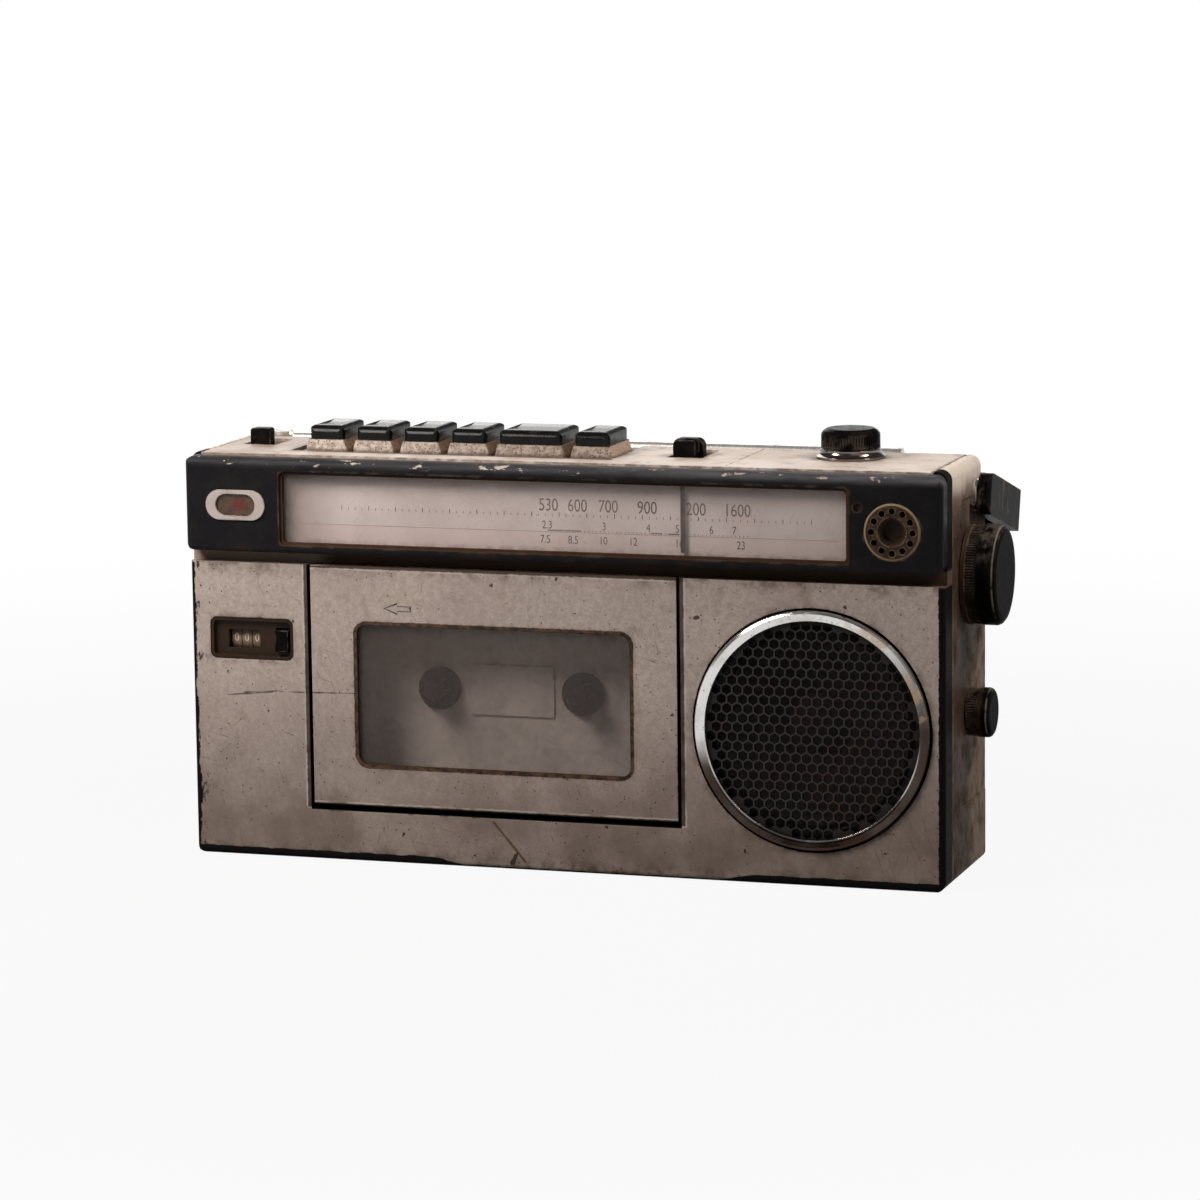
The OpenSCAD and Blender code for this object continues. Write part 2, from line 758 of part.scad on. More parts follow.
// Pointer hanging from its rail by an eye
module dial_pointer() {
    eye_r = 1.15;
    color("black") {
        difference() {
            union() {
                bar_x(rail_y, rail_z, eye_r, pointer_x - 3, pointer_x + 3);
                box(pointer_x - pointer_w / 2, pointer_x + pointer_w / 2, rail_y - 0.8, rail_y - 0.2,
                    dial_z0 + 0.4, rail_z);
            }
            bar_x(rail_y, rail_z, rail_r + run, pointer_x - 4, pointer_x + 4);
        }
    }
}

module pointer_rail() {
    color("silver") bar_x(rail_y, rail_z, rail_r, dial_x0 - 2.5, dial_x1 + 2.5);
}

module indicator_frame() {
    color("white") translate([ind_x, face_y, ind_z]) rotate([90, 0, 0]) difference() {
        union() {
            linear_extrude(band_proud) oval(ind_w - 1.2, ind_h - 1.2);
            translate([0, 0, band_proud]) linear_extrude(0.5) oval(ind_w, ind_h);
        }
        translate([0, 0, -cut]) linear_extrude(band_proud + 3 * cut) oval(ind_in_w, ind_in_h);
    }
}

module indicator_window() {
    color("brown") translate([ind_x, face_y, ind_z]) rotate([90, 0, 0])
        linear_extrude(band_proud - 0.4) oval(ind_in_w, ind_in_h);
}

module indicator_lamp() {
    color("red") bar_y(ind_x, ind_z, 1.6, face_y, upper_y);
}

module mic_bezel() {
    holes = 12;
    color("dimgray") difference() {
        turned_front(mic_x, mic_z, [[0, 0], [mic_r, 0], [mic_r, band_proud - 0.1],
            [mic_r - 0.5, band_proud + 0.3], [mic_mouth_r + 0.4, band_proud + 0.2],
            [mic_mouth_r, band_proud + 0.3], [mic_mouth_r - 1.3, band_proud - 1],
            [mic_mouth_r - 1.5, band_proud - 2.2], [0, band_proud - 2.2]]);
        for (k = [0:holes - 1])
            translate([mic_x, face_y, mic_z]) rotate([0, 360 * k / holes, 0])
                bar_y(mic_hole_circle, 0, 0.85, -band_proud - cut, cut);
    }
}

module mic_capsule() {
    color("silver") bar_y(mic_x, mic_z, 4.9, face_y, upper_y);
}

module speaker_ring() {
    color("silver") turned_front(spk_x, spk_z, [[ring_flange_r, -spk_flange_d], [ring_flange_r, -wall],
        [ring_r, -wall], [ring_r, 0.5], [ring_r - 0.3, 1], [ring_r - 0.9, 1.3], [ring_seen_r + 1, 1],
        [ring_seen_r + 0.2, 0.6], [ring_seen_r, 0.2], [ring_seen_r, -0.2], [grille_r + run, -0.2],
        [grille_r + run, -spk_flange_d]]);
}

// Grille of six-sided holes in close-packed rows, held by a rim against the speaker frame
module speaker_grille() {
    row = grille_pitch * sin(60);
    rows = ceil(ring_seen_r / row);
    reach = grille_r - grille_edge - grille_hole / 2;
    color("black") {
        translate([spk_x, face_y + 0.2 + grille_t, spk_z]) rotate([90, 0, 0])
            linear_extrude(grille_t) difference() {
                circle(grille_r);
                for (j = [-rows:rows], i = [-rows - 2:rows + 2]) {
                    hole_x = grille_pitch * (i + (j % 2 == 0 ? 0 : 0.5));
                    if (norm([hole_x, row * j]) < reach)
                        translate([hole_x, row * j]) rotate(30) circle(d = grille_hole, $fn = 6);
                }
            }
        turned_front(spk_x, spk_z, [[grille_r - 1, -spk_flange_d], [grille_r, -spk_flange_d], [grille_r, -0.5],
            [grille_r - 1, -0.5]]);
    }
}

// Pressed frame with its magnet
module speaker_frame() {
    back = -spk_depth + 5;
    color("silver") turned_front(spk_x, spk_z, [[ring_flange_r, -spk_flange_d],
        [ring_flange_r, -spk_flange_d - 1], [grille_r - 2, -spk_flange_d - 1], [ring_r / 2, back],
        [magnet_r, back], [magnet_r, -spk_depth], [0, -spk_depth], [0, back + 1], [ring_r / 2 - 0.6, back + 1],
        [grille_r - 2.6, -spk_flange_d]]);
}

module speaker_cone() {
    rim = -spk_flange_d - 0.2;
    edge = grille_r - 3.4;
    color("dimgray") turned_front(spk_x, spk_z, [[edge, rim], [edge - 1, rim + 0.6], [edge - 2, rim],
        [9, -9.8], [5, -8.3], [0, -7.8], [0, -8.4], [5, -8.9], [9, -10.6], [edge - 2, rim - 0.7],
        [edge - 0.6, rim - 0.5]]);
}

// Door plate with its window opening, hinge barrel and pins
module cassette_door() {
    color("silver") difference() {
        union() {
            side_plate(door_x0, door_x1) translate([face_y + door_t / 2, (door_z0 + door_z1) / 2])
                soft_rect(door_t, door_z1 - door_z0, [0.8, 0.2, 0.2, 0.5]);
            bar_x(hinge_y, hinge_z, hinge_r, door_x0, door_x1);
            bar_x(hinge_y, hinge_z, pin_r, bay_x0 - bay_wall + 0.2, bay_x1 + bay_wall - 0.2);
        }
        front_plate(door_x - window_w / 2, door_x + window_w / 2, hub_z - window_h / 2, hub_z + window_h / 2,
            face_y - cut, inner_y + cut, window_r);
        front_plate(door_x - window_w / 2 - window_lip, door_x + window_w / 2 + window_lip,
            hub_z - window_h / 2 - window_lip, hub_z + window_h / 2 + window_lip,
            inner_y - glass_t, inner_y + cut, window_r + window_lip);
    }
}

module door_window() {
    fit = window_lip - 0.1;
    color("white", 0.4) front_plate(door_x - window_w / 2 - fit, door_x + window_w / 2 + fit,
        hub_z - window_h / 2 - fit, hub_z + window_h / 2 + fit, inner_y - glass_t, inner_y, window_r + fit);
}

// Sheet steel guides that hold the cassette on the back of the door
module cassette_carrier() {
    sheet = 1.2;
    inside = cassette_w / 2 + 0.4;
    guide_z1 = cassette_z1 - carrier_drop;
    rear_y = deck_y - 0.7;
    color("silver") {
        for (s = [0, 1])
            translate([door_x, 0, 0]) mirror([s, 0, 0]) {
                box(inside, inside + sheet, hinge_y + hinge_r, rear_y, cassette_z0, guide_z1);
                box(inside, inside + sheet, inner_y, hinge_y + hinge_r + 0.1, hinge_z + hinge_r, guide_z1);
                box(inside - 4, inside + sheet, rear_y - sheet, rear_y, cassette_z0, guide_z1);
            }
        box(door_x - inside - sheet, door_x + inside + sheet, hinge_y + hinge_r, rear_y, cassette_z0 - sheet,
            cassette_z0 + 0.1);
    }
}

// Plate at the back of the cassette bay, with a raised panel between the reels and pins for the bridge
module deck_plate() {
    color("gray") difference() {
        union() {
            box(bay_x0 - bay_wall, bay_x1 + bay_wall, deck_y, deck_back_y, deck_z0, deck_z1);
            front_plate(door_x - 12.5, door_x + 12.5, hub_z - 7.2, hub_z + 7.2, deck_y - 0.6, deck_y + 0.1, 1);
            for (x = guide_pins)
                bar_y(x, guide_z, 1.5, bridge_y - 0.6, deck_y + 0.1);
        }
        for (x = hub_xs)
            bar_y(x, hub_z, reel_shaft_r + run, deck_y - cut, deck_back_y + cut);
        bar_y(capstan_x, capstan_z, capstan_r + gap, deck_y - cut, deck_back_y + cut);
    }
}

// Steel plate that carries shafts and motor, on posts behind the deck plate
module chassis_plate() {
    z0 = motor_z - motor_r;
    posts_x = [bay_x0 + 4, bay_x1 - 4];
    posts_z = [z0 + post_inset, deck_z1 - post_drop];
    color("silver") difference() {
        union() {
            box(bay_x0, bay_x1, chassis_y, chassis_back_y, z0, deck_z1 - 3);
            box(motor_x - motor_r + 4.5, bay_x0 + 1, chassis_y, chassis_back_y, z0, motor_z + motor_r);
            for (x = posts_x, z = posts_z)
                bar_y(x, z, 2.5, deck_back_y, chassis_y + 0.1);
        }
        for (x = hub_xs)
            bar_y(x, hub_z, reel_shaft_r + run, chassis_y - cut, chassis_back_y + cut);
        bar_y(capstan_x, capstan_z, capstan_r + run, chassis_y - cut, chassis_back_y + cut);
        bar_y(motor_x, motor_z, 3, chassis_y - cut, chassis_back_y + cut);
    }
}

// Reel table with a splined spindle in the bay and a drive wheel behind the deck plate
module reel(x) {
    fins = 6;
    color("dimgray") {
        translate([x, deck_y, hub_z]) rotate([90, 0, 0]) rotate_extrude() polygon([[0, 0.3], [reel_table_r, 0.3],
            [reel_table_r, 1.6], [reel_table_r - 0.5, 2.1], [2.9, 2.1], [2.9, 8], [1.6, 9.6], [0, 9.6]]);
        for (k = [0:fins - 1])
            translate([x, deck_y, hub_z]) rotate([0, 360 * k / fins, 0]) translate([2.4, -7.6, -0.5])
                cube([1.6, 5.8, 1]);
        bar_y(x, hub_z, reel_shaft_r, deck_y - 0.5, chassis_back_y);
        bar_y(x, hub_z, reel_wheel_r, deck_back_y + 1, deck_back_y + 3.5);
    }
}

module reel_takeup() {
    reel(hub_xs[0]);
}

module reel_supply() {
    reel(hub_xs[1]);
}

// Flywheel with the capstan as its shaft
module flywheel() {
    color("silver") {
        translate([capstan_x, flywheel_y + flywheel_t, capstan_z]) rotate([90, 0, 0]) rotate_extrude() polygon([
            [0, 0], [flywheel_r, 0], [flywheel_r, flywheel_t], [flywheel_r - 4, flywheel_t],
            [flywheel_r - 5, 2], [5, 2], [5, flywheel_t], [0, flywheel_t]]);
        bar_y(capstan_x, capstan_z, capstan_r, deck_y - 10, flywheel_y + 1);
    }
}

module motor() {
    color("silver") bar_y(motor_x, motor_z, motor_r, chassis_y - 15, chassis_y);
}

module motor_pulley() {
    color("tan") {
        bar_y(motor_x, motor_z, pulley_r, belt_y - belt_w / 2 - 0.4, belt_y + belt_w / 2 + 0.4);
        bar_y(motor_x, motor_z, 1, chassis_y + 0.3, belt_y);
    }
}

// Outline of a loop run tightly round flywheel and pulley with a spare distance
module belt_outline(spare) {
    d = [motor_x - capstan_x, motor_z - capstan_z];
    r1 = flywheel_r + spare;
    r2 = pulley_r + spare;
    along = atan2(d[1], d[0]);
    side = acos((r1 - r2) / norm(d));
    n1 = [cos(along + side), sin(along + side)];
    n2 = [cos(along - side), sin(along - side)];
    circle(r1);
    translate(d) circle(r2);
    polygon([r1 * n1, d + r2 * n1, d + r2 * n2, r1 * n2]);
}

module drive_belt() {
    color("black") translate([capstan_x, belt_y + belt_w / 2, capstan_z]) rotate([90, 0, 0])
        linear_extrude(belt_w) difference() {
            belt_outline(0.3 + belt_t);
            belt_outline(0.3);
        }
}

// Sliding plate that carries heads and roller, with a slot for each guide pin
module head_bridge() {
    color("silver") difference() {
        union() {
            box(door_x - 33, door_x + 33, bridge_y, bridge_y + bridge_t, bridge_z0, bridge_z1);
            bar_y(capstan_x, roller_z, 1.2, head_y0 + 1, bridge_y + 0.1);
        }
        for (x = guide_pins) {
            box(x - 1.5 - gap, x + 1.5 + gap, bridge_y - cut, bridge_y + bridge_t + cut, guide_z - 1.5 - gap,
                guide_z + bridge_travel + 1.5 + gap);
        }
        bar_y(capstan_x, capstan_z, capstan_r + 4, bridge_y - cut, bridge_y + bridge_t + cut);
    }
}

// Record and play head in the middle, erase head beside it
module tape_heads() {
    color("silver") {
        front_plate(door_x - 6, door_x + 6, bridge_z0 - 0.6, bridge_z0 + 9.4, head_y0, bridge_y, 1.5);
        front_plate(door_x + 15, door_x + 22, bridge_z0 - 0.6, bridge_z0 + 7, head_y0 + 2, bridge_y, 1.2);
    }
}

module pinch_roller() {
    color("black") difference() {
        bar_y(capstan_x, roller_z, roller_r, head_y0 + 3, bridge_y - 1);
        bar_y(capstan_x, roller_z, 1.2 + run, head_y0, bridge_y);
    }
}

// Sunk counter frame with side cheeks that hold the wheels' shaft
module counter_housing() {
    x1 = counter_x0 + counter_w;
    z1 = counter_z0 + counter_h;
    floor_d = 1.6;
    wheels_x1 = wheels_x0 + 3 * wheel_pitch;
    color("black") difference() {
        union() {
            front_plate(counter_x0 + 0.1, x1 - 0.1, counter_z0 + 0.1, z1 - 0.1, face_y + 0.2, inner_y + 0.6,
                1.9);
            for (x = [wheels_x0 - 1.6, wheels_x1 + 0.3])
                box(x, x + 1.2, inner_y, wheel_y + 3, counter_zc - 3, counter_zc + 3);
            bar_x(wheel_y, counter_zc, 1, wheels_x0 - 1, wheels_x1 + 1);
        }
        front_plate(counter_x0 + 1, x1 - 1, counter_z0 + 1, z1 - 1, face_y - cut, face_y + floor_d, 1.2);
        box(wheels_x0, wheels_x1, face_y, inner_y + cut, counter_zc - 2.6, counter_zc + 2.6);
        box(reset_x0 - gap, reset_x0 + reset_w + gap, face_y, inner_y + cut, counter_zc - reset_h / 2 - gap,
            counter_zc + reset_h / 2 + gap);
    }
}

module counter_wheels() {
    color("white") difference() {
        union() {
            for (k = [0:2])
                bar_x(wheel_y, counter_zc, wheel_r, wheels_x0 + k * wheel_pitch + 0.1,
                    wheels_x0 + k * wheel_pitch + 0.1 + wheel_w);
            bar_x(wheel_y, counter_zc, 2, wheels_x0 + 0.1, wheels_x0 + 2 * wheel_pitch + 0.1 + wheel_w);
        }
        bar_x(wheel_y, counter_zc, 1 + run, wheels_x0 - cut, wheels_x0 + 4 * wheel_pitch);
    }
}

module reset_button() {
    color("black") {
        box(reset_x0, reset_x0 + reset_w, face_y - 0.4, inner_y + 1.2, counter_zc - reset_h / 2,
            counter_zc + reset_h / 2);
        box(reset_x0 - 1, reset_x0 + reset_w + 0.6, inner_y + 1, inner_y + 2.2, counter_zc - reset_h / 2,
            counter_zc + reset_h / 2);
    }
}

// Main board with its cans, capacitors and the ferrite rod on two saddles
module circuit_board() {
    y0 = back_y - board_clear;
    board_x0 = bay_x0 + board_start;
    board_x1 = side_in - 3;
    board_z0 = battery_z1 + 5;
    board_z1 = body_h - board_drop;
    rod_aerial_y = y0 - 4.2;
    color("darkgreen") difference() {
        union() {
            box(board_x0, board_x1, y0, y0 + 1.6, board_z0, board_z1);
            for (k = [0:3])
                box(spk_x - 26 + 12 * k, spk_x - 18 + 12 * k, y0 - 10, y0 + 0.1, board_z0 + 12, board_z0 + 20);
            for (k = [0:2])
                bar_y(spk_x - 24 + 11 * k, board_z0 + 30, 4, y0 - 9, y0 + 0.1);
            bar_x(rod_aerial_y, board_z1 + 2, 4, aerial_x0, aerial_x0 + aerial_len);
            for (x = [aerial_x0 + 22, aerial_x0 + aerial_len - 8])
                box(x, x + 4, rod_aerial_y, y0 + 0.1, board_z1 - 4, board_z1 + 2);
        }
        for (p = posts)
            bar_y(p[0], p[1], post_r + 2.6, y0 - cut, y0 + 2 * cut);
    }
    // Stand-offs to the back wall
    color("darkgreen") for (x = [board_x0 + 6, board_x1 - 12], z = [board_z0 + 5, board_z1 - 6])
        bar_y(x, z, 2.5, y0 + 1, rear_inner_y);
}

// Long flap over the battery compartment, turning on a barrel along its lower edge
module battery_door() {
    color("gray") {
        box(-flap_half, flap_half, rear_inner_y, back_y, flap_axis_z, flap_z1);
        bar_x(flap_axis_y, flap_axis_z, flap_r, -flap_half, flap_half);
        bar_x(flap_axis_y, flap_axis_z, pin_r, -flap_half - 2, flap_half + 2);
        for (k = [-3:3])
            box(8 * k - 1.2, 8 * k + 1.2, back_y - 0.1, back_y + 0.5, flap_z1 - 7, flap_z1 - 2);
    }
}

// Contact plates with a cone for the spring at one end
module battery_contacts() {
    y = battery_y0 + cell_space / 2;
    z = battery_z0 + cell_space / 2 + 0.6;
    color("silver") {
        for (x = [-battery_half, battery_half - 0.6])
            box(x, x + 0.6, y - 8, y + 8, z - 8, z + 8);
        translate([-battery_half + 0.5, y, z]) rotate([0, 90, 0]) cylinder(h = 3, r1 = 5, r2 = 3);
    }
}

// Carrying handle: one bar bent round the back of the cabinet, folded down behind it
module handle() {
    bar_back = handle_reach + bar_w / 2;
    bar_len = arm_front + bar_back;
    bar_mid = (bar_back - arm_front) / 2;
    color("black") translate([0, pivot_y, pivot_z]) rotate([-handle_droop, 0, 0]) difference() {
        intersection() {
            side_plate(-arm_out, arm_out) translate([bar_mid, 0]) soft_rect(bar_len, bar_h, [3, 4, 4, 3]);
            translate([0, bar_mid, -bar_h]) linear_extrude(2 * bar_h)
                soft_rect(2 * arm_out, bar_len, [1.2, 1.2, bar_bend, bar_bend]);
        }
        box(-arm_in, arm_in, -arm_front - cut, handle_reach - bar_w / 2, -bar_h, bar_h);
        for (s = [0, 1])
            mirror([s, 0, 0]) bar_x(0, 0, pivot_r + run, arm_in - cut, arm_out - arm_skin);
    }
}

// Bosses on the sides with pins that end inside the handle's arms
module handle_pivots() {
    color("silver") for (s = [0, 1])
        mirror([s, 0, 0]) {
            bar_x(pivot_y, pivot_z, boss_r, side_face, side_face + boss_len);
            bar_x(pivot_y, pivot_z, pivot_r, side_in, arm_out - arm_skin - gap);
        }
}

// Swivel with a slotted head and the tilt pin across it
module antenna_base() {
    color("silver") {
        difference() {
            union() {
                bar_z(swivel_x, rod_y, 2, groove_z - wall, groove_z + 0.4);
                bar_z(swivel_x, rod_y, swivel_r, groove_z + 0.3, rod_z + 2.4);
            }
            box(swivel_x - 5, swivel_x + 5, rod_y - 1.5 - run, rod_y + 1.5 + run, groove_z + 0.7, rod_z + 5);
        }
        bar_y(swivel_x, rod_z, 0.9, rod_y - 2.4, rod_y + 2.4);
    }
}

// Outer tube with the flat tongue that turns in the swivel
module antenna_tube() {
    color("silver") difference() {
        union() {
            bar_x(rod_y, rod_z, rod_r, tube_x0, tube_x1);
            bar_y(swivel_x, rod_z, 1.9, rod_y - 1.5, rod_y + 1.5);
            box(swivel_x, tube_x0 + 0.5, rod_y - 1.5, rod_y + 1.5, rod_z - 1.4, rod_z + 1.4);
        }
        bar_y(swivel_x, rod_z, 0.9 + run, rod_y - 3, rod_y + 3);
        bar_x(rod_y, rod_z, rod_bore_r, tube_x0 + 4, tube_x1 + cut);
    }
}

module antenna_rod() {
    color("silver") {
        bar_x(rod_y, rod_z, rod_bore_r - run, tube_x0 + 6, tube_x1 + 1);
        bar_x(rod_y, rod_z, rod_r, tube_x1 + 0.4, rod_tip_x);
    }
}

// Sockets for plugs on the left side, in one moulded block
module jack_block() {
    color("dimgray") difference() {
        union() {
            box(-side_in, -side_in + jack_depth, jack_y - 4, jack_y + 4, jack_z0 - jack_edge,
                jack_z0 + 2 * jack_pitch + jack_edge);
            jack_places(3, -half_w + side_recess, -side_in + 1);
        }
        jack_places(1.8, -half_w - cut, -side_in + 7);
    }
}

module cabinet_screws() {
    color("silver") for (p = posts) {
        bar_y(p[0], p[1], 1.3, post_end_y - 8, post_end_y + 3.1);
        bar_y(p[0], p[1], 3, post_end_y + 3, post_end_y + 5);
    }
}

front_cabinet();
rear_cabinet();
band_bezel();
top_plate();
key_bracket();
key_pause();
key_stop();
key_forward();
key_rewind();
key_play();
key_record();
function_knob();
band_knob();
slide_switches();
volume_ring();
volume_knob();
tuning_knob();
tuning_capacitor();
tone_knob();
control_pots();
dial_window();
dial_scale();
dial_pointer();
pointer_rail();
indicator_frame();
indicator_window();
indicator_lamp();
mic_bezel();
mic_capsule();
speaker_ring();
speaker_grille();
speaker_frame();
speaker_cone();
cassette_door();
door_window();
cassette_carrier();
deck_plate();
chassis_plate();
reel_takeup();
reel_supply();
flywheel();
motor();
motor_pulley();
drive_belt();
head_bridge();
tape_heads();
pinch_roller();
counter_housing();
counter_wheels();
reset_button();
circuit_board();
battery_door();
battery_contacts();
handle();
handle_pivots();
antenna_base();
antenna_tube();
antenna_rod();
jack_block();
cabinet_screws();
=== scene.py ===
import math

import bpy
from mathutils import Matrix, Vector


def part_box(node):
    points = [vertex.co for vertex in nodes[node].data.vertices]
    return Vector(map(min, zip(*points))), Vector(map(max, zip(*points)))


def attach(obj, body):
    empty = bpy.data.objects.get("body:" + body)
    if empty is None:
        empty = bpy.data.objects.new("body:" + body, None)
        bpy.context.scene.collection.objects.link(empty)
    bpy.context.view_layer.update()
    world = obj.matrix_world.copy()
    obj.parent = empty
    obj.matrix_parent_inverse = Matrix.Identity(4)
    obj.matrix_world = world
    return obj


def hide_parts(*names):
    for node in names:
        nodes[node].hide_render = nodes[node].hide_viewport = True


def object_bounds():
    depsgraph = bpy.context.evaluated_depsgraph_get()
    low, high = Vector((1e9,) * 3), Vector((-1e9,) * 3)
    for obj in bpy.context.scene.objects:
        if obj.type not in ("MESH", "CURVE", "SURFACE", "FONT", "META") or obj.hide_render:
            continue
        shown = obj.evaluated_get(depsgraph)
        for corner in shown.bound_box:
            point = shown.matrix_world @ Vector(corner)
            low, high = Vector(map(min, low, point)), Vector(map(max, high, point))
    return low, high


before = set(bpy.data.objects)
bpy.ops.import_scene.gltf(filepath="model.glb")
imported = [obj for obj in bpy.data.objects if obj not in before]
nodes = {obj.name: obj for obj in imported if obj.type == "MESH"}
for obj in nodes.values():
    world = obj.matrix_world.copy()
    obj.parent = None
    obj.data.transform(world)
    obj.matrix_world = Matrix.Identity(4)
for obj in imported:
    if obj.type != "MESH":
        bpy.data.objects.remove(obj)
cad_low, cad_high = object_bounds()

# Sizes that the frame does not give, in metres
MM = 0.001
window_lap = 1.1 * MM
window_corner = 2.8 * MM
print_lift = 0.02 * MM

# Places read from the frame, in metres
front_low, front_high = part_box("front_cabinet")
door_low, door_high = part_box("cassette_door")
face_y = door_low.y
face_top = door_high.z
band_low, band_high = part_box("band_bezel")
dial_low, dial_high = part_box("dial_scale")
window_low, window_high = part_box("door_window")
pane_low = (window_low.x + window_lap, window_low.z + window_lap)
pane_high = (window_high.x - window_lap, window_high.z - window_lap)
grille_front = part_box("speaker_grille")[0].y
ring_low, ring_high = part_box("speaker_ring")
ring_x, _, ring_z = (ring_low + ring_high) / 2
ring_flange_r = (ring_high.x - ring_low.x) / 2
counter_low, counter_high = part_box("counter_housing")
lamp_low, lamp_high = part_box("indicator_lamp")
mic_low, mic_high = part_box("mic_bezel")
plate_low, plate_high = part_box("top_plate")
volume_low, volume_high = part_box("volume_ring")
keys_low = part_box("key_pause")[0]
keys_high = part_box("key_record")[1]
case_low, case_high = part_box("rear_cabinet")
wheels_low, wheels_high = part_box("counter_wheels")


def put(name, data):
    """New object in the scene."""
    thing = bpy.data.objects.new(name, data)
    bpy.context.scene.collection.objects.link(thing)
    return thing


# Camera

def place_camera():
    """Camera where the photograph was taken from, with its focal length."""
    yaw = math.radians(17.94)
    pitch = math.radians(8.84)
    roll = math.radians(-0.68)
    place = (0.4086, -1.2476, 0.2774)
    frame_px = 1200
    focal_px = 4736
    flat = math.cos(pitch)
    forward = Vector((-math.sin(yaw) * flat, math.cos(yaw) * flat, -math.sin(pitch)))
    level = Vector((math.cos(yaw), math.sin(yaw), 0))
    upright = level.cross(forward)
    right = level * math.cos(roll) + upright * math.sin(roll)
    up = upright * math.cos(roll) - level * math.sin(roll)
    lens = bpy.data.cameras.new("front_camera")
    lens.sensor_width = 36
    lens.lens = lens.sensor_width * focal_px / frame_px
    lens.clip_start = 0.05
    lens.clip_end = 60
    camera = put("front_camera", lens)
    turn = Matrix((right, up, -forward)).transposed().to_4x4()
    camera.matrix_world = Matrix.Translation(place) @ turn
    bpy.context.scene.camera = camera


# Node trees

def feed(tree, socket, value):
    """Links another node's socket, or each one in a list, or sets a plain value."""
    if isinstance(value, bpy.types.NodeSocket):
        tree.links.new(value, socket)
    elif isinstance(value, list):
        for one in value:
            tree.links.new(one, socket)
    else:
        socket.default_value = value


def add_node(tree, kind, inputs=None, **settings):
    """New node with its settings made and its inputs fed."""
    node = tree.nodes.new(kind)
    for key, value in settings.items():
        setattr(node, key, value)
    for key, value in (inputs or {}).items():
        feed(tree, node.inputs[key], value)
    return node


def empty_tree(owner):
    """Node tree of a material or the world, with no node in it."""
    owner.use_nodes = True
    owner.node_tree.nodes.clear()
    return owner.node_tree


# Light, floor and background

def add_lamp(name, place, aim, size, watts, colour):
    """Round lamp that shines from its place towards aim and isn't seen itself."""
    data = bpy.data.lights.new(name, "AREA")
    data.shape = "DISK"
    data.size = size
    data.energy = watts
    data.color = colour
    lamp = put(name, data)
    lamp.location = place
    lamp.visible_camera = False
    lamp.rotation_euler = (Vector(aim) - Vector(place)).to_track_quat("-Z", "Y").to_euler()


def seen_directly(tree):
    """1 for rays from the camera, in mirrors and through glass, 0 for light that falls on the part."""
    path = add_node(tree, "ShaderNodeLightPath").outputs
    total = path["Is Camera Ray"]
    for label in ("Is Glossy Ray", "Is Transmission Ray"):
        total = add_node(tree, "ShaderNodeMath", {0: total, 1: path[label]}, operation="MAXIMUM").outputs[0]
    return total


def light_scene():
    """Four lamps and a weak even light from all sides."""
    # Name, place, aim, width of the disc, watts and colour of each lamp
    lamps = [
        ("window_light", (-0.18, -0.21, 0.31), (-0.1, 0, 0.11), 0.16, 1.25, (1, 0.96, 0.93)),
        ("room_light", (0.9, -1.2, 0.9), (0, 0, 0.05), 1.2, 1.2, (0.95, 0.97, 1)),
        ("back_light", (-0.5, 0.9, 0.7), (0, 0.02, 0.06), 0.8, 5, (1, 0.98, 0.96)),
        ("corner_light", (0.3, -0.03, 0.34), (0.11, 0, 0.115), 0.1, 0.7, (1, 0.95, 0.9)),
    ]
    for lamp in lamps:
        add_lamp(*lamp)
    world = bpy.data.worlds.new("studio")
    bpy.context.scene.world = world
    tree = empty_tree(world)
    soft = add_node(tree, "ShaderNodeBackground", {"Color": (0.93, 0.95, 1, 1), "Strength": 0.12})
    add_node(tree, "ShaderNodeOutputWorld", {"Surface": soft.outputs[0]})


def lay_floor():
    """Floor with walls far off: white where it is seen, grey for the light on the part, shaded near it."""
    half = 6
    wall_height = 1.6
    under_part = 0.0002
    shade_from = 0.15
    shade_to = 0.7
    least_white = 0.92
    level = cad_low.z - under_part
    square = [(-half, -half), (half, -half), (half, half), (-half, half)]
    corners = [(x, y, z) for z in (level, level + wall_height) for x, y in square]
    sides = [(k, (k + 1) % 4, (k + 1) % 4 + 4, k + 4) for k in range(4)]
    mesh = bpy.data.meshes.new("floor")
    mesh.from_pydata(corners, [], [(0, 1, 2, 3)] + sides)
    floor = put("floor", mesh)
    material = bpy.data.materials.new("pale_floor")
    tree = empty_tree(material)
    matt = add_node(tree, "ShaderNodeBsdfDiffuse", {"Color": (0.3, 0.3, 0.3, 1)})
    glow = add_node(tree, "ShaderNodeEmission", {"Color": (1, 1, 1, 1), "Strength": 1})
    coords = add_node(tree, "ShaderNodeTexCoord")
    length = add_node(tree, "ShaderNodeVectorMath", {0: coords.outputs["Object"]}, operation="LENGTH")
    away = add_node(tree, "ShaderNodeMapRange", {
        "Value": length.outputs["Value"], "From Min": shade_from, "From Max": shade_to,
        "To Min": least_white, "To Max": 1.0}, interpolation_type="SMOOTHSTEP")
    share = add_node(tree, "ShaderNodeMath", {0: seen_directly(tree), 1: away.outputs["Result"]},
                     operation="MULTIPLY")
    mix = add_node(tree, "ShaderNodeMixShader", {"Fac": share.outputs[0], 1: matt.outputs[0],
                                                 2: glow.outputs[0]})
    add_node(tree, "ShaderNodeOutputMaterial", {"Surface": mix.outputs[0]})
    mesh.materials.append(material)


# Finishes

def rgb(red, green, blue):
    """Colour given in the usual 0 to 255 steps, as the shader's linear values."""
    linear = []
    for value in (red, green, blue):
        share = value / 255
        linear.append(share / 12.92 if share <= 0.04045 else ((share + 0.055) / 1.055) ** 2.4)
    return (*linear, 1)


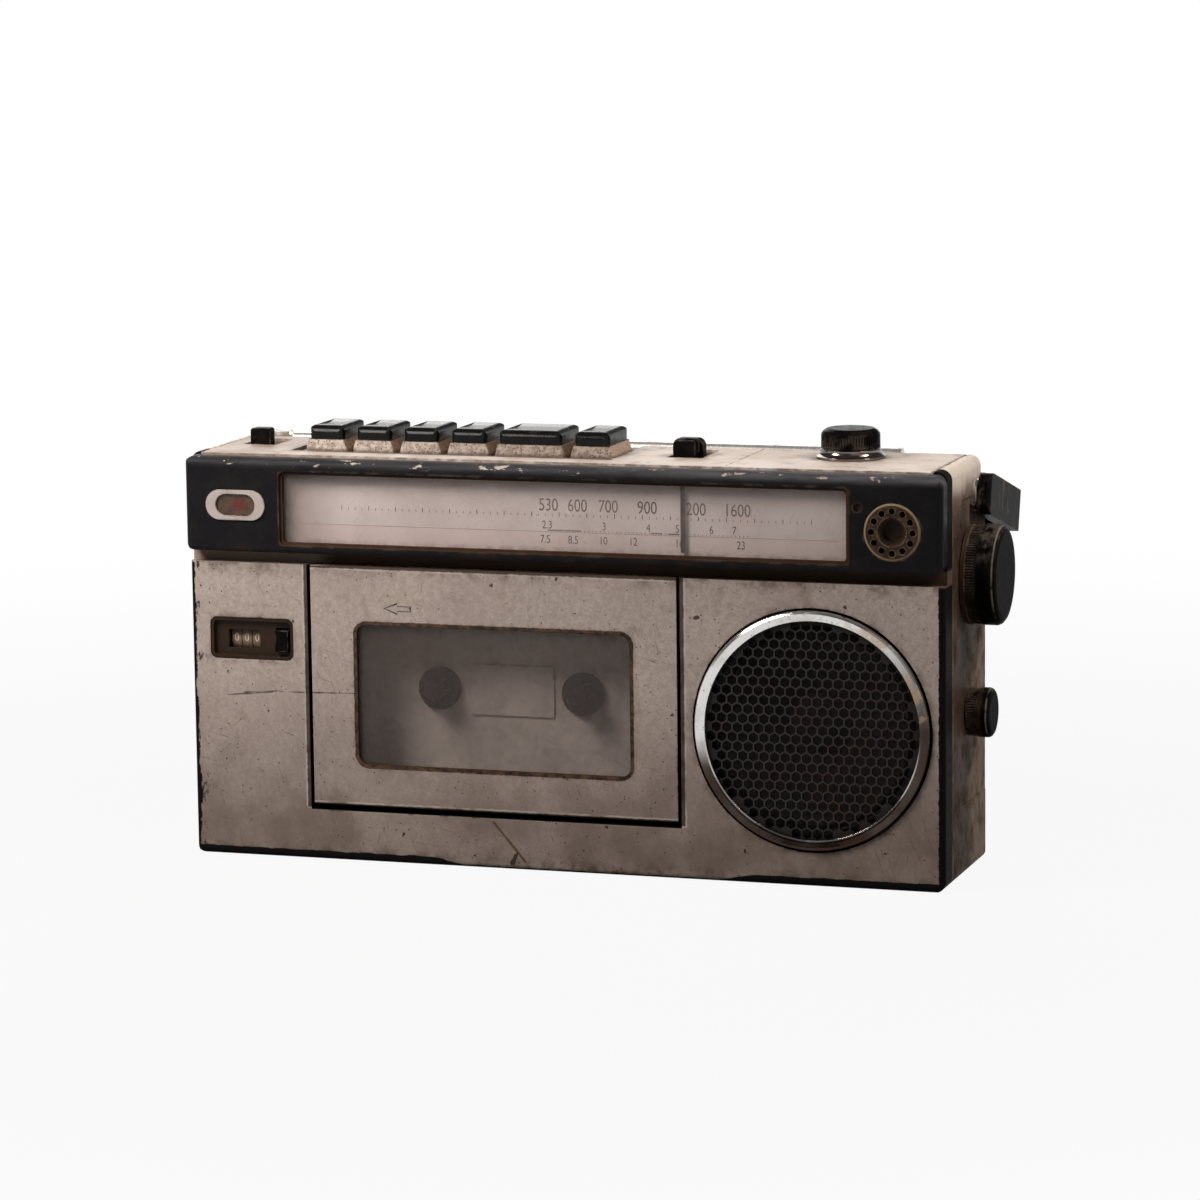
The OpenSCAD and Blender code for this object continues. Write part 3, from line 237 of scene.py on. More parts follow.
class Finish:
    """A node material with one Principled shader, in the coordinates of the piece."""

    def __init__(self, name):
        self.material = bpy.data.materials.new(name)
        self.material.use_nodes = True
        self.tree = self.material.node_tree
        self.shader = self.tree.nodes["Principled BSDF"]
        source = self.add("ShaderNodeTexCoord")
        self.coords = source.outputs["Object"]
        place = self.add("ShaderNodeSeparateXYZ", {"Vector": self.coords})
        self.x, self.y, self.z = place.outputs
        facing = self.add("ShaderNodeSeparateXYZ", {"Vector": source.outputs["Normal"]})
        self.facing_x, self.facing_y, self.facing_z = facing.outputs

    def add(self, kind, inputs=None, **settings):
        return add_node(self.tree, kind, inputs, **settings)

    def math(self, operation, first, second=0.0):
        return self.add("ShaderNodeMath", {0: first, 1: second}, operation=operation).outputs[0]

    def times(self, first, second):
        return self.math("MULTIPLY", first, second)

    def plus(self, first, second):
        return self.math("ADD", first, second)

    def minus(self, first, second):
        return self.math("SUBTRACT", first, second)

    def apart(self, first, second):
        return self.math("ABSOLUTE", self.minus(first, second))

    def diagonal(self, first, second):
        return self.math("SQRT", self.plus(self.times(first, first), self.times(second, second)))

    def either(self, *masks):
        total = masks[0]
        for mask in masks[1:]:
            total = self.math("MAXIMUM", total, mask)
        return total

    def ramp(self, value, low, high):
        """0 below low and 1 above high, or the other way round where low is above high."""
        node = self.add("ShaderNodeMapRange", {"Value": value, "From Min": low, "From Max": high},
                        clamp=True, interpolation_type="SMOOTHSTEP")
        return node.outputs["Result"]

    def ramp_mm(self, value, low, high):
        """A ramp with its limits in millimetres."""
        return self.ramp(value, low * MM, high * MM)

    def blend(self, share, first, second):
        return self.add("ShaderNodeMix", {0: share, 6: first, 7: second}, data_type="RGBA").outputs[2]

    def tint(self, shade, mask, share, colour):
        """Shade with a share of a colour laid over it where the mask is 1."""
        return self.blend(self.times(mask, share), shade, colour)

    def level(self, share, first, second):
        return self.add("ShaderNodeMix", {0: share, 2: first, 3: second}, data_type="FLOAT").outputs[0]

    def noise(self, per_metre, detail=3.0, roughness=0.5, stretch=(1, 1, 1), shift=0.0):
        """Cloudy noise; a stretch below 1 draws it out along that axis."""
        place = self.add("ShaderNodeMapping", {"Vector": self.coords, "Scale": stretch,
                                               "Location": (shift, shift, shift)})
        cloud = self.add("ShaderNodeTexNoise", {"Vector": place.outputs[0], "Scale": per_metre,
                                                "Detail": detail, "Roughness": roughness})
        return cloud.outputs["Fac"]

    def patches(self, low, high, *noise, **more):
        """Noise cut into patches: 0 where it is below low and 1 where it is above high."""
        return self.ramp(self.noise(*noise, **more), low, high)

    def shake(self, reach, *noise):
        """Noise about 0, half of reach to each side at the most."""
        return self.times(self.minus(self.noise(*noise), 0.5), reach)

    def specks(self, per_metre, radius, share):
        """Uneven specks in the given share of the cells of a random grid; radius is in cells."""
        wander = self.add("ShaderNodeTexNoise", {"Vector": self.coords, "Scale": 5 * per_metre,
                                                 "Detail": 2.0})
        reach = 0.3 / per_metre
        shaken = self.add("ShaderNodeVectorMath", {0: wander.outputs["Color"], 1: (reach, reach, reach),
                                                   2: self.coords}, operation="MULTIPLY_ADD")
        cells = self.add("ShaderNodeTexVoronoi", {"Vector": shaken.outputs[0], "Scale": per_metre})
        chance = self.add("ShaderNodeSeparateColor", {"Color": cells.outputs["Color"]})
        chosen = self.math("LESS_THAN", chance.outputs[0], share)
        size = self.times(chance.outputs[1], radius)
        near = self.math("LESS_THAN", cells.outputs["Distance"], size)
        return self.times(chosen, near)

    def scratches(self, angle, amount, shift):
        """Thin lines seen from the front, at an angle; amount is the part of the noise that counts."""
        length = 9 * MM
        width = 0.32 * MM
        place = self.add("ShaderNodeMapping", {"Vector": self.coords, "Scale": (length, length, width),
                                               "Rotation": (0, math.radians(angle), 0),
                                               "Location": (shift, shift, shift)}, vector_type="TEXTURE")
        lines = self.add("ShaderNodeTexNoise", {"Vector": place.outputs[0], "Scale": 1.0, "Detail": 1.0})
        return self.ramp(lines.outputs["Fac"], 1 - amount, 1.03 - amount)

    def rounded(self, radius):
        """Normal of the piece with its edges rounded by a radius in millimetres."""
        return self.add("ShaderNodeBevel", {"Radius": radius * MM}, samples=4).outputs[0]

    def edges(self, radius):
        """About 0 on flat places, rising towards edges that are nearer than radius, in millimetres."""
        round_edge = self.rounded(radius)
        flat = self.add("ShaderNodeNewGeometry")
        same = self.add("ShaderNodeVectorMath", {0: round_edge, 1: flat.outputs["Normal"]},
                        operation="DOT_PRODUCT")
        return self.minus(1.0, same.outputs["Value"])

    def box_distance(self, low, high, corner=0.0):
        """Distance outside an upright rectangle seen from the front, below 0 inside it."""
        out = []
        for axis, first, last in ((self.x, low[0], high[0]), (self.z, low[1], high[1])):
            from_middle = self.apart(axis, (first + last) / 2)
            out.append(self.minus(from_middle, (last - first) / 2 - corner))
        farther = self.either(*out)
        if not corner:
            return farther
        inside = self.math("MINIMUM", farther, 0.0)
        beyond = [self.either(side, 0.0) for side in out]
        return self.minus(self.plus(inside, self.diagonal(*beyond)), corner)

    def segment_distance(self, first, last):
        """Distance, seen from the front, to the line between two points given in X and Z."""
        run_x = last[0] - first[0]
        run_z = last[1] - first[1]
        dx = self.minus(self.x, first[0])
        dz = self.minus(self.z, first[1])
        along = self.plus(self.times(dx, run_x), self.times(dz, run_z))
        share = self.math("DIVIDE", along, run_x * run_x + run_z * run_z)
        share = self.math("MINIMUM", self.either(share, 0.0), 1.0)
        off_x = self.minus(dx, self.times(share, run_x))
        off_z = self.minus(dz, self.times(share, run_z))
        return self.diagonal(off_x, off_z)

    def round_distance(self, x, z=None, y=None):
        """Distance from a point given in X and Z, seen from the front, or in X and Y, seen from above."""
        across = self.minus(self.z, z) if y is None else self.minus(self.y, y)
        return self.diagonal(self.minus(self.x, x), across)

    def bump(self, height, depth, round_edge=0.0):
        """Bump of a given depth, on edges rounded by round_edge, both in millimetres."""
        inputs = {"Height": height, "Distance": depth * MM, "Strength": 1.0}
        if round_edge:
            inputs["Normal"] = self.rounded(round_edge)
        self.give(Normal=self.add("ShaderNodeBump", inputs).outputs[0])

    def give(self, **sockets):
        """Sets the shader's sockets; an underscore stands for a space in a socket's name."""
        for label, value in sockets.items():
            feed(self.tree, self.shader.inputs[label.replace("_", " ")], value)
        return self.material


DIRT = rgb(58, 40, 28)
DARK_DIRT = rgb(30, 21, 16)
BLACK = rgb(24, 23, 24)


def worn_silver_paint():
    """Silver-grey paint on the front of black mouldings: the face of the cabinet and the cassette door."""
    f = Finish("worn_silver_paint")
    broad = f.noise(26, 4)
    fine = f.noise(1500, 2)
    paint = f.blend(f.ramp(broad, 0.3, 0.7), rgb(194, 180, 170), rgb(180, 165, 156))
    paint = f.tint(paint, f.ramp(fine, 0.35, 0.65), 0.3, rgb(146, 130, 121))
    stains = f.patches(0.56, 0.74, 95, 5, 0.62)
    paint = f.tint(paint, stains, 0.4, rgb(122, 98, 80))
    mottle = f.patches(0.36, 0.64, 520, 5, 0.7, (1, 1, 0.6))
    paint = f.tint(paint, mottle, 0.22, rgb(128, 108, 94))
    # Painted shade: the face is painted darker towards the bottom, in blotchy patches.
    blotchy = f.level(f.patches(0.35, 0.65, 60, 5, 0.6), 0.5, 0.85)
    paint = f.tint(paint, f.ramp_mm(f.z, 60, 4), blotchy, rgb(113, 98, 88))
    ring_r = ring_flange_r - 1.3 * MM
    near_ring = f.ramp(f.round_distance(ring_x, ring_z), ring_r + 3.2 * MM, ring_r)
    door = f.box_distance((door_low.x + 1 * MM, door_low.z), (door_high.x - 1 * MM, door_high.z))
    near_door = f.ramp_mm(f.math("ABSOLUTE", door), 1.5, 0.2)
    window = f.box_distance(pane_low, pane_high, window_corner)
    near_window = f.ramp_mm(window, 2.6, 0.2)
    counter = f.box_distance((counter_low.x, counter_low.z), (counter_high.x, counter_high.z))
    near_counter = f.ramp_mm(counter, 2.2, 0)
    near_top = f.ramp(f.z, face_top - 5 * MM, face_top)
    near_floor = f.ramp_mm(f.z, 5, 1)
    grime_places = f.either(near_ring, near_door, near_window, near_counter, near_top, near_floor)
    patchy = f.patches(0.4, 0.68, 240, 5, 0.65)
    paint = f.tint(paint, f.times(grime_places, patchy), 0.6, DIRT)
    lines = f.either(f.scratches(14, 0.27, 0), f.scratches(-38, 0.28, 5), f.scratches(71, 0.28, 9),
                     f.scratches(-80, 0.28, 13))
    clustered = f.patches(0.44, 0.6, 48, 3, shift=6)
    paint = f.tint(paint, f.times(lines, clustered), 0.6, rgb(86, 68, 55))
    waver = f.shake(0.5 * MM, 220, 2)
    # Two ends and the width of each score line, in millimetres
    scored = [((-98.9, 46.1), (-85.4, 47.4), 0.24), ((-94, 47), (-83, 47.9), 0.16),
              ((-86, 47.5), (-59.7, 48), 0.14)]
    marks = []
    for first, last, wide in scored:
        off_line = f.segment_distance([v * MM for v in first], [v * MM for v in last])
        marks.append(f.ramp(f.plus(off_line, waver), wide * MM, 0.4 * wide * MM))
    specks = f.either(f.specks(150, 0.11, 0.42), f.specks(420, 0.17, 0.26), f.specks(52, 0.06, 0.5),
                      f.specks(800, 0.22, 0.14))
    paint = f.tint(paint, f.either(specks, *marks), 0.85, rgb(52, 38, 30))
    crack = f.segment_distance((-19.8 * MM, 13.2 * MM), (-10.7 * MM, 2.5 * MM))
    crack_line = f.ramp_mm(f.plus(crack, waver), 0.5, 0.2)
    paint = f.tint(paint, crack_line, 0.8, rgb(84, 60, 36))
    shake = f.shake(0.5 * MM, 900, 3)
    from_gap = f.plus(f.math("ABSOLUTE", door), shake)
    # Painted highlight: pale lines on the rounded edges just beside the door gap, in patches.
    gap_edge_highlight = f.times(f.ramp_mm(from_gap, 1.35, 1.05), f.patches(0.36, 0.56, 130, 4))
    paint = f.tint(paint, gap_edge_highlight, 0.5, rgb(214, 201, 192))
    # Painted shade: the paint is darkened on both sides of the door gap, where its edges round down into
    # the gap.
    paint = f.tint(paint, f.ramp_mm(from_gap, 0.85, 0.6), 0.85, rgb(44, 31, 23))
    ragged_rim = f.plus(window, shake)
    rim_shade = f.blend(f.patches(0.4, 0.62, 420, 4, 0.65), rgb(38, 26, 19), rgb(86, 62, 46))
    paint = f.tint(paint, f.ramp_mm(ragged_rim, 1.25, 1.0), 0.92, rim_shade)
    flakes = f.patches(0.56, 0.6, 170, 5, 0.72, (1, 1, 0.5), shift=8)
    flaked = f.times(flakes, f.ramp(f.x, front_low.x + 6 * MM, front_low.x + 2 * MM))
    paint = f.tint(paint, flaked, 0.9, rgb(34, 27, 24))
    moulding = f.blend(f.patches(0.45, 0.75, 300, 5, 0.7), BLACK, DARK_DIRT)
    moulding = f.tint(moulding, f.ramp_mm(window, 0.2, 0), 0.7, rgb(80, 57, 42))
    # Painted light: the black moulding of the channel under the band is painted brown, pale towards its
    # left end.
    channel = f.times(f.ramp(f.z, face_top - 0.6 * MM, face_top),
                      f.ramp(f.z, band_low.z + 1 * MM, band_low.z))
    channel_painted_light = f.blend(f.ramp_mm(f.x, -66, -74), rgb(100, 80, 67), rgb(170, 150, 136))
    moulding = f.tint(moulding, channel, 0.9, channel_painted_light)
    chip = f.shake(0.35, 330, 5, 0.7)
    front = f.ramp(f.plus(f.facing_y, chip), -0.78, -0.86)
    at_face = f.ramp(f.y, face_y + 1.1 * MM, face_y + 0.9 * MM)
    bottom_chip = f.shake(0.9 * MM, 260, 4)
    from_middle = f.apart(f.x, 9 * MM)
    paint_lower = f.times(f.ramp_mm(from_middle, 48, 36), 1.8 * MM)
    foot = f.plus(f.z, f.plus(bottom_chip, paint_lower))
    above_foot = f.ramp_mm(foot, 2.3, 2.6)
    chipped = f.times(f.ramp(f.edges(1.1), 0.05, 0.16), f.patches(0.6, 0.66, 160, 4, 0.6, shift=2))
    ragged = f.plus(f.x, f.shake(1.1 * MM, 620, 4, 0.7))
    left_wear = f.times(f.minus(f.noise(60, 5, 0.7, shift=11), 0.35), 4.5 * MM)
    left_end = f.minus(ragged, f.either(left_wear, 0.0))
    sides = f.times(f.ramp(ragged, front_high.x - 1.6 * MM, front_high.x - 1.9 * MM),
                    f.ramp(left_end, front_low.x + 0.6 * MM, front_low.x + 1 * MM))
    painted = f.times(f.times(front, at_face), f.times(above_foot, sides))
    painted = f.times(painted, f.minus(1.0, chipped))
    rough = f.level(f.ramp(fine, 0.3, 0.7), 0.42, 0.56)
    f.bump(f.plus(f.times(fine, 0.35), f.times(painted, 0.5)), 0.05, 0.45)
    return f.give(Base_Color=f.blend(painted, moulding, paint), Roughness=rough, Specular_IOR_Level=0.006)


def worn_black_band():
    """Satin black moulding of the dial band, worn grey along its edges, with a painted sheen along its top
    rounding, and brown round the dial.
    """
    f = Finish("worn_black_band")
    blotchy = f.patches(0.42, 0.75, 110, 5, 0.6)
    black = f.tint(rgb(27, 26, 28), blotchy, 0.5, rgb(46, 41, 38))
    worn = f.ramp(f.edges(1.3), 0.03, 0.14)
    patchy = f.patches(0.46, 0.6, 170, 5, 0.65)
    top_edge_sheen = f.ramp(f.z, band_high.z - 3.4 * MM, band_high.z - 0.8 * MM)
    black = f.tint(black, f.times(worn, patchy), 0.55, rgb(120, 110, 102))
    # Painted sheen: a streaky grey reflection along the band's top rounding, stronger to the right, partly
    # wear.
    brushed = f.level(f.patches(0.3, 0.7, 420, 4, 0.6, (0.15, 1, 1)), 0.4, 1.0)
    to_right = f.level(f.ramp_mm(f.x, -80, 90), 0.25, 0.75)
    black = f.tint(black, top_edge_sheen, f.times(brushed, to_right), rgb(100, 98, 101))
    chips = f.times(f.ramp(f.z, band_high.z - 2.6 * MM, band_high.z - 1.8 * MM),
                    f.ramp(f.z, band_high.z, band_high.z - 0.5 * MM))
    chips = f.times(chips, f.patches(0.6, 0.63, 240, 4, 0.7, (0.5, 1, 1.6), shift=3))
    black = f.tint(black, chips, 0.9, rgb(196, 180, 166))
    dial = f.box_distance((dial_low.x + 1.5 * MM, dial_low.z + 0.6 * MM),
                          (dial_high.x - 1.5 * MM, dial_high.z))
    frame_edge = f.ramp_mm(dial, 1.3, 0.7)
    black = f.tint(black, frame_edge, 0.85, rgb(72, 50, 36))
    low_edge = f.ramp(f.z, band_low.z + 3 * MM, band_low.z + 0.5 * MM)
    black = f.tint(black, low_edge, f.times(blotchy, 0.3), DIRT)
    dot = f.round_distance(dial_high.x + 1.9 * MM, dial_high.z - 4.05 * MM)
    black = f.tint(black, f.ramp_mm(dot, 1.7, 1.2), 0.8, rgb(66, 50, 38))
    specks = f.either(f.specks(260, 0.07, 0.25), f.specks(90, 0.03, 0.2))
    black = f.tint(black, specks, 0.45, rgb(120, 104, 92))
    fine = f.noise(1900, 2)
    f.bump(fine, 0.03, 0.35)
    rough = f.level(blotchy, 0.36, 0.55)
    return f.give(Base_Color=black, Roughness=rough, Specular_IOR_Level=0.03)


def stained_ivory():
    """Cream top plate with brown stains, dirt in its seams and round everything set into it, and painted
    shade in its recesses, along the key tray's front and towards its left end.
    """
    f = Finish("stained_ivory")
    broad = f.noise(45, 5, 0.6)
    cream = f.blend(f.ramp(broad, 0.35, 0.68), rgb(214, 200, 190), rgb(192, 174, 160))
    stains = f.patches(0.54, 0.72, 180, 6, 0.68)
    cream = f.tint(cream, stains, 0.55, rgb(128, 98, 72))
    seams = [plate_high.x - 58 * MM, plate_low.x + 22 * MM]
    joints = [f.ramp_mm(f.apart(f.x, place), 0.35, 0.15) for place in seams]
    volume_x, volume_y, _ = (volume_low + volume_high) / 2
    round_knob = f.ramp_mm(f.round_distance(volume_x, y=volume_y), 13, 9)
    border = f.edges(2)
    grime = f.either(*joints, f.times(round_knob, 0.8), f.ramp(border, 0.02, 0.1))
    cream = f.tint(cream, grime, f.patches(0.36, 0.6, 320, 4), rgb(86, 60, 42))
    # Painted shade with some dirt: the sunken parts of the plate, such as the key tray and the switch
    # wells, painted dark in uneven patches.
    sunk = f.ramp(f.z, plate_high.z - 0.5 * MM, plate_high.z - 0.8 * MM)
    cream = f.tint(cream, sunk, f.level(f.patches(0.36, 0.62, 260, 5, 0.65), 0.95, 0.55), rgb(66, 50, 40))
    # Painted shade: a dark line across the plate in front of the keys, for the shaded front wall of the key
    # tray.
    tray_x = f.times(f.ramp(f.x, keys_low.x - 4 * MM, keys_low.x - 3.5 * MM),
                     f.ramp(f.x, keys_high.x + 1 * MM, keys_high.x + 0.5 * MM))
    from_tray_edge = f.apart(f.y, keys_low.y - 3.4 * MM)
    tray_edge = f.times(tray_x, f.ramp_mm(from_tray_edge, 1.2, 0.9))
    cream = f.tint(cream, tray_edge, 0.8, rgb(70, 53, 42))
    # Painted shade: the plate is painted darker towards its left end.
    blotchy = f.level(f.ramp(broad, 0.35, 0.65), 0.55, 0.85)
    cream = f.tint(cream, f.ramp_mm(f.x, -55, -86), blotchy, rgb(134, 112, 96))
    specks = f.either(f.specks(300, 0.12, 0.3), f.specks(120, 0.08, 0.25))
    cream = f.tint(cream, specks, 0.7, rgb(92, 66, 46))
    f.bump(f.noise(1300, 3), 0.05, 0.25)
    return f.give(Base_Color=cream, Roughness=0.55, Specular_IOR_Level=0.3)


def grimy_case():
    """Warm grey rear moulding under old brown grime, with a painted highlight along its top and painted
    shadow on the front of its sides.
    """
    f = Finish("grimy_case")
    broad = f.noise(30, 5, 0.6)
    grey = f.blend(f.ramp(broad, 0.3, 0.7), rgb(150, 132, 117), rgb(122, 105, 91))
    dirt = f.patches(0.42, 0.66, 140, 6, 0.7)
    on_side = f.ramp(f.math("ABSOLUTE", f.facing_x), 0.5, 0.8)
    grey = f.tint(grey, dirt, f.level(on_side, 0.3, 0.7), rgb(70, 51, 38))
    waver = f.shake(8 * MM, 70, 4)
    depth = f.minus(f.y, case_low.y)
    # Painted shadow: the front part of each side, below the top, is painted dark brown where the knobs and
    # the handle shade it.
    near_front = f.ramp_mm(f.plus(depth, waver), 25, 15)
    below_top = f.ramp(f.plus(f.z, waver), case_high.z - 4 * MM, case_high.z - 15 * MM)
    grey = f.tint(grey, f.times(near_front, below_top), f.times(on_side, 0.82), rgb(46, 33, 25))
    seam_line = f.times(f.ramp_mm(depth, 1.6, 0.9), f.patches(0.3, 0.6, 110, 4))
    grey = f.tint(grey, seam_line, 0.6, rgb(140, 104, 78))
    # Painted highlight: a pale cream band along the top of the case, where light catches it.
    top = f.ramp(f.plus(f.z, waver), case_high.z - 9 * MM, case_high.z - 3.5 * MM)
    grey = f.tint(grey, top, 0.88, rgb(236, 221, 206))
    hollow = f.ramp(f.edges(2.4), 0.02, 0.12)
    grey = f.tint(grey, hollow, f.times(dirt, 0.8), DIRT)
    streaks = f.patches(0.55, 0.7, 1.0, 4, 0.6, (420, 420, 36))
    grey = f.tint(grey, streaks, 0.35, rgb(70, 52, 40))
    specks = f.either(f.specks(240, 0.08, 0.3), f.specks(90, 0.05, 0.2))
    grey = f.tint(grey, specks, 0.6, DARK_DIRT)
    grain = f.noise(1100, 4, 0.6)
    f.bump(grain, 0.09, 0.4)
    return f.give(Base_Color=grey, Roughness=f.level(dirt, 0.5, 0.72), Specular_IOR_Level=0.02)


def capped_key():
    """Mottled cream skirt below and glossy black cap above, parted at the skirt's upper edge."""
    f = Finish("capped_key")
    mottle = f.patches(0.42, 0.6, 800, 6, 0.75)
    skirt = f.tint(rgb(216, 200, 187), mottle, 0.6, rgb(104, 80, 62))
    # The skirts are darker towards the right.
    towards_right = f.ramp_mm(f.x, -62, -8)
    skirt = f.tint(skirt, towards_right, 0.35, rgb(116, 92, 72))
    skirt = f.tint(skirt, f.either(f.specks(650, 0.26, 0.6), f.specks(1300, 0.4, 0.6)), 0.75, DIRT)
    # Painted shade: the side faces of the skirts are painted browner than their fronts.
    between = f.ramp(f.math("ABSOLUTE", f.facing_x), 0.55, 0.85)
    skirt = f.tint(skirt, between, 0.5, rgb(196, 164, 134))
    foot = f.ramp(f.z, plate_high.z + 0.9 * MM, plate_high.z - 0.2 * MM)
    skirt = f.tint(skirt, foot, 0.6, rgb(70, 51, 38))
    dust = f.patches(0.5, 0.75, 260, 5, 0.65)
    cap = f.tint(rgb(18, 17, 17), dust, 0.25, rgb(64, 54, 47))
    worn = f.times(f.ramp(f.edges(0.8), 0.05, 0.2), f.patches(0.48, 0.6, 300, 4))
    cap = f.tint(cap, worn, 0.5, rgb(120, 108, 98))
    parting = f.ramp(f.z, plate_high.z + 2.9 * MM, plate_high.z + 3.05 * MM)
    f.bump(f.noise(1500, 3), 0.03, 0.5)
    rough = f.level(parting, 0.55, f.level(dust, 0.16, 0.4))
    return f.give(Base_Color=f.blend(parting, skirt, cap), Roughness=rough, Specular_IOR_Level=0.12)


def gloss_black(name, wear):
    """Glossy black moulding with patches of brown dust; wear is how much its edges have greyed."""
    f = Finish(name)
    dust = f.patches(0.45, 0.72, 300, 5, 0.65)
    black = f.tint(rgb(15, 14, 14), dust, 0.2, rgb(58, 46, 37))
    rim = f.times(f.ramp(f.edges(0.7), 0.04, 0.18), f.patches(0.42, 0.58, 260, 4))
    black = f.tint(black, rim, wear, rgb(136, 122, 110))
    fine = f.noise(1600, 2)
    f.bump(fine, 0.02, 0.4)
    return f.give(Base_Color=black, Roughness=f.level(dust, 0.14, 0.45), Specular_IOR_Level=0.01)


def dusty_side_knob(name, node):
    """Black cap on a ribbed drum with brown dust, painted highlights on its upper faces and a pale painted
    highlight along the cap's edge.
    """
    f = Finish(name)
    low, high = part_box(node)
    out = f.minus(f.x, case_high.x)
    dust = f.patches(0.36, 0.66, 320, 5, 0.65)
    black = f.tint(rgb(13, 12, 12), dust, 0.2, rgb(48, 38, 31))
    upward = f.ramp(f.facing_z, 0.1, 0.8)
    drum = f.ramp_mm(out, 4.45, 4.3)
    from_axis = f.apart(f.z, (low.z + high.z) / 2)
    level_side = f.ramp(from_axis, 0.4 * (high.z - low.z), 0.1 * (high.z - low.z))
    drum_share = f.times(drum, f.times(f.level(dust, 0.4, 0.8), f.level(level_side, 0.5, 1.0)))
    black = f.blend(drum_share, black, rgb(70, 52, 40))
    # Painted highlight: grey streaks on the knob's upward faces.
    streaks = f.patches(0.42, 0.62, 260, 4, 0.65, (1, 1, 0.4))
    black = f.tint(black, f.times(streaks, upward), 0.45, rgb(122, 110, 100))
    # Painted highlight: a pale line round the edge of the cap's end face.
    from_rim = f.apart(f.x, high.x - 0.9 * MM)
    rim_highlight = f.times(f.ramp_mm(from_rim, 0.3, 0.1), f.patches(0.36, 0.56, 160, 3))
    black = f.tint(black, rim_highlight, 0.6, rgb(150, 138, 127))
    flange = f.ramp_mm(out, 1.75, 1.6)
    black = f.tint(black, flange, 0.7, rgb(74, 54, 41))
    rim = f.times(f.ramp(f.edges(0.5), 0.05, 0.2), f.patches(0.4, 0.56, 260, 4))
    black = f.tint(black, rim, 0.55, rgb(146, 132, 120))
    black = f.tint(black, f.specks(240, 0.06, 0.2), 0.5, rgb(120, 108, 98))
    f.bump(f.noise(1600, 2), 0.02, 0.3)
    return f.give(Base_Color=black, Roughness=f.level(drum_share, 0.2, 0.6), Specular_IOR_Level=0.001)


def old_chrome(name, dull, ring_painted_light):
    """Pitted plating, browned all over by dull; ring_painted_light paints shade on the speaker ring below
    and right, gold reflections at its upper right, a highlight on its lower lip and shadow on its inner
    wall.
    """
    f = Finish(name)
    pits = f.patches(0.58, 0.72, 700, 5, 0.7)
    tarnish = f.patches(0.5, 0.75, 90, 5, 0.6)
    plate = f.tint(rgb(226, 224, 222), tarnish, 0.35, rgb(156, 138, 118))
    radius = ring_flange_r
    to_right = f.minus(f.x, ring_x)
    to_top = f.minus(f.z, ring_z)
    # Painted shade: the speaker ring is darker below and to the right.
    low_right = f.ramp(f.minus(to_right, to_top), -0.5 * radius, 0.9 * radius)
    lower = f.ramp(to_top, -0.03 * radius, -0.35 * radius)
    low_right = f.either(low_right, lower)
    uneven = f.level(f.patches(0.35, 0.65, 60, 4), 0.955, 1.0)
    plate = f.tint(plate, f.times(low_right, uneven), ring_painted_light, rgb(42, 29, 23))
    # Painted reflection: golden patches on the upper right of the speaker ring.
    gold_reflection = f.times(f.ramp(to_right, 0.1 * radius, 0.5 * radius),
                   f.ramp(to_top, -0.1 * radius, 0.2 * radius))
    gold_reflection = f.times(gold_reflection, f.patches(0.5, 0.6, 140, 4, 0.65, shift=5))
    plate = f.tint(plate, gold_reflection, 0.6 * ring_painted_light, rgb(166, 136, 102))
    plate = f.blend(dull, plate, rgb(92, 74, 62))
    plate = f.tint(plate, pits, 0.6, rgb(70, 52, 38))
    if ring_painted_light:
        # Painted highlight on the lower inner lip of the speaker ring.
        seen_inner = radius - 4.4 * MM
        from_lip = f.apart(f.round_distance(ring_x, ring_z), seen_inner + 0.3 * MM)
        bright_lip = f.times(lower, f.ramp_mm(from_lip, 0.35, 0.15))
        plate = f.tint(plate, bright_lip, 0.7, rgb(214, 206, 200))
        # Painted shadow: the ring's inner wall, behind the grille's front, is painted nearly black.
        inner_wall = f.ramp(f.y, grille_front - 0.1 * MM, grille_front + 0.2 * MM)
        plate = f.blend(inner_wall, plate, rgb(12, 11, 11))
    f.bump(f.noise(240, 3), 0.04, 0.2)
    return f.give(Base_Color=plate, Metallic=f.level(pits, 1.0, 0.3), Roughness=f.level(tarnish, 0.1, 0.3))


def dull_steel(name, colour):
    """Rolled or pressed metal, brushed, with brown stains."""
    f = Finish(name)
    brushed = f.noise(1.0, 3, 0.6, (2400, 300, 300))
    metal = f.blend(f.ramp(brushed, 0.3, 0.7), colour, tuple(0.7 * v for v in colour[:3]) + (1,))
    stains = f.patches(0.55, 0.75, 160, 5, 0.6)
    metal = f.tint(metal, stains, 0.5, rgb(84, 66, 50))
    f.bump(brushed, 0.02, 0.15)
    return f.give(Base_Color=metal, Metallic=0.85, Roughness=f.level(stains, 0.34, 0.6))


def plain_moulding(name, colour, dirt_share):
    """Matt moulded plastic with grain, patches of dirt and edges that have caught some."""
    f = Finish(name)
    patch = f.patches(0.44, 0.72, 180, 5, 0.65)
    shade = f.tint(colour, patch, dirt_share, DIRT)
    rim = f.ramp(f.edges(0.8), 0.04, 0.18)
    shade = f.tint(shade, rim, f.times(patch, 0.7), DARK_DIRT)
    shade = f.tint(shade, f.specks(260, 0.08, 0.25), 0.5, DARK_DIRT)
    f.bump(f.noise(1300, 3), 0.05, 0.2)
    return f.give(Base_Color=shade, Roughness=f.level(patch, 0.45, 0.68), Specular_IOR_Level=0.15)


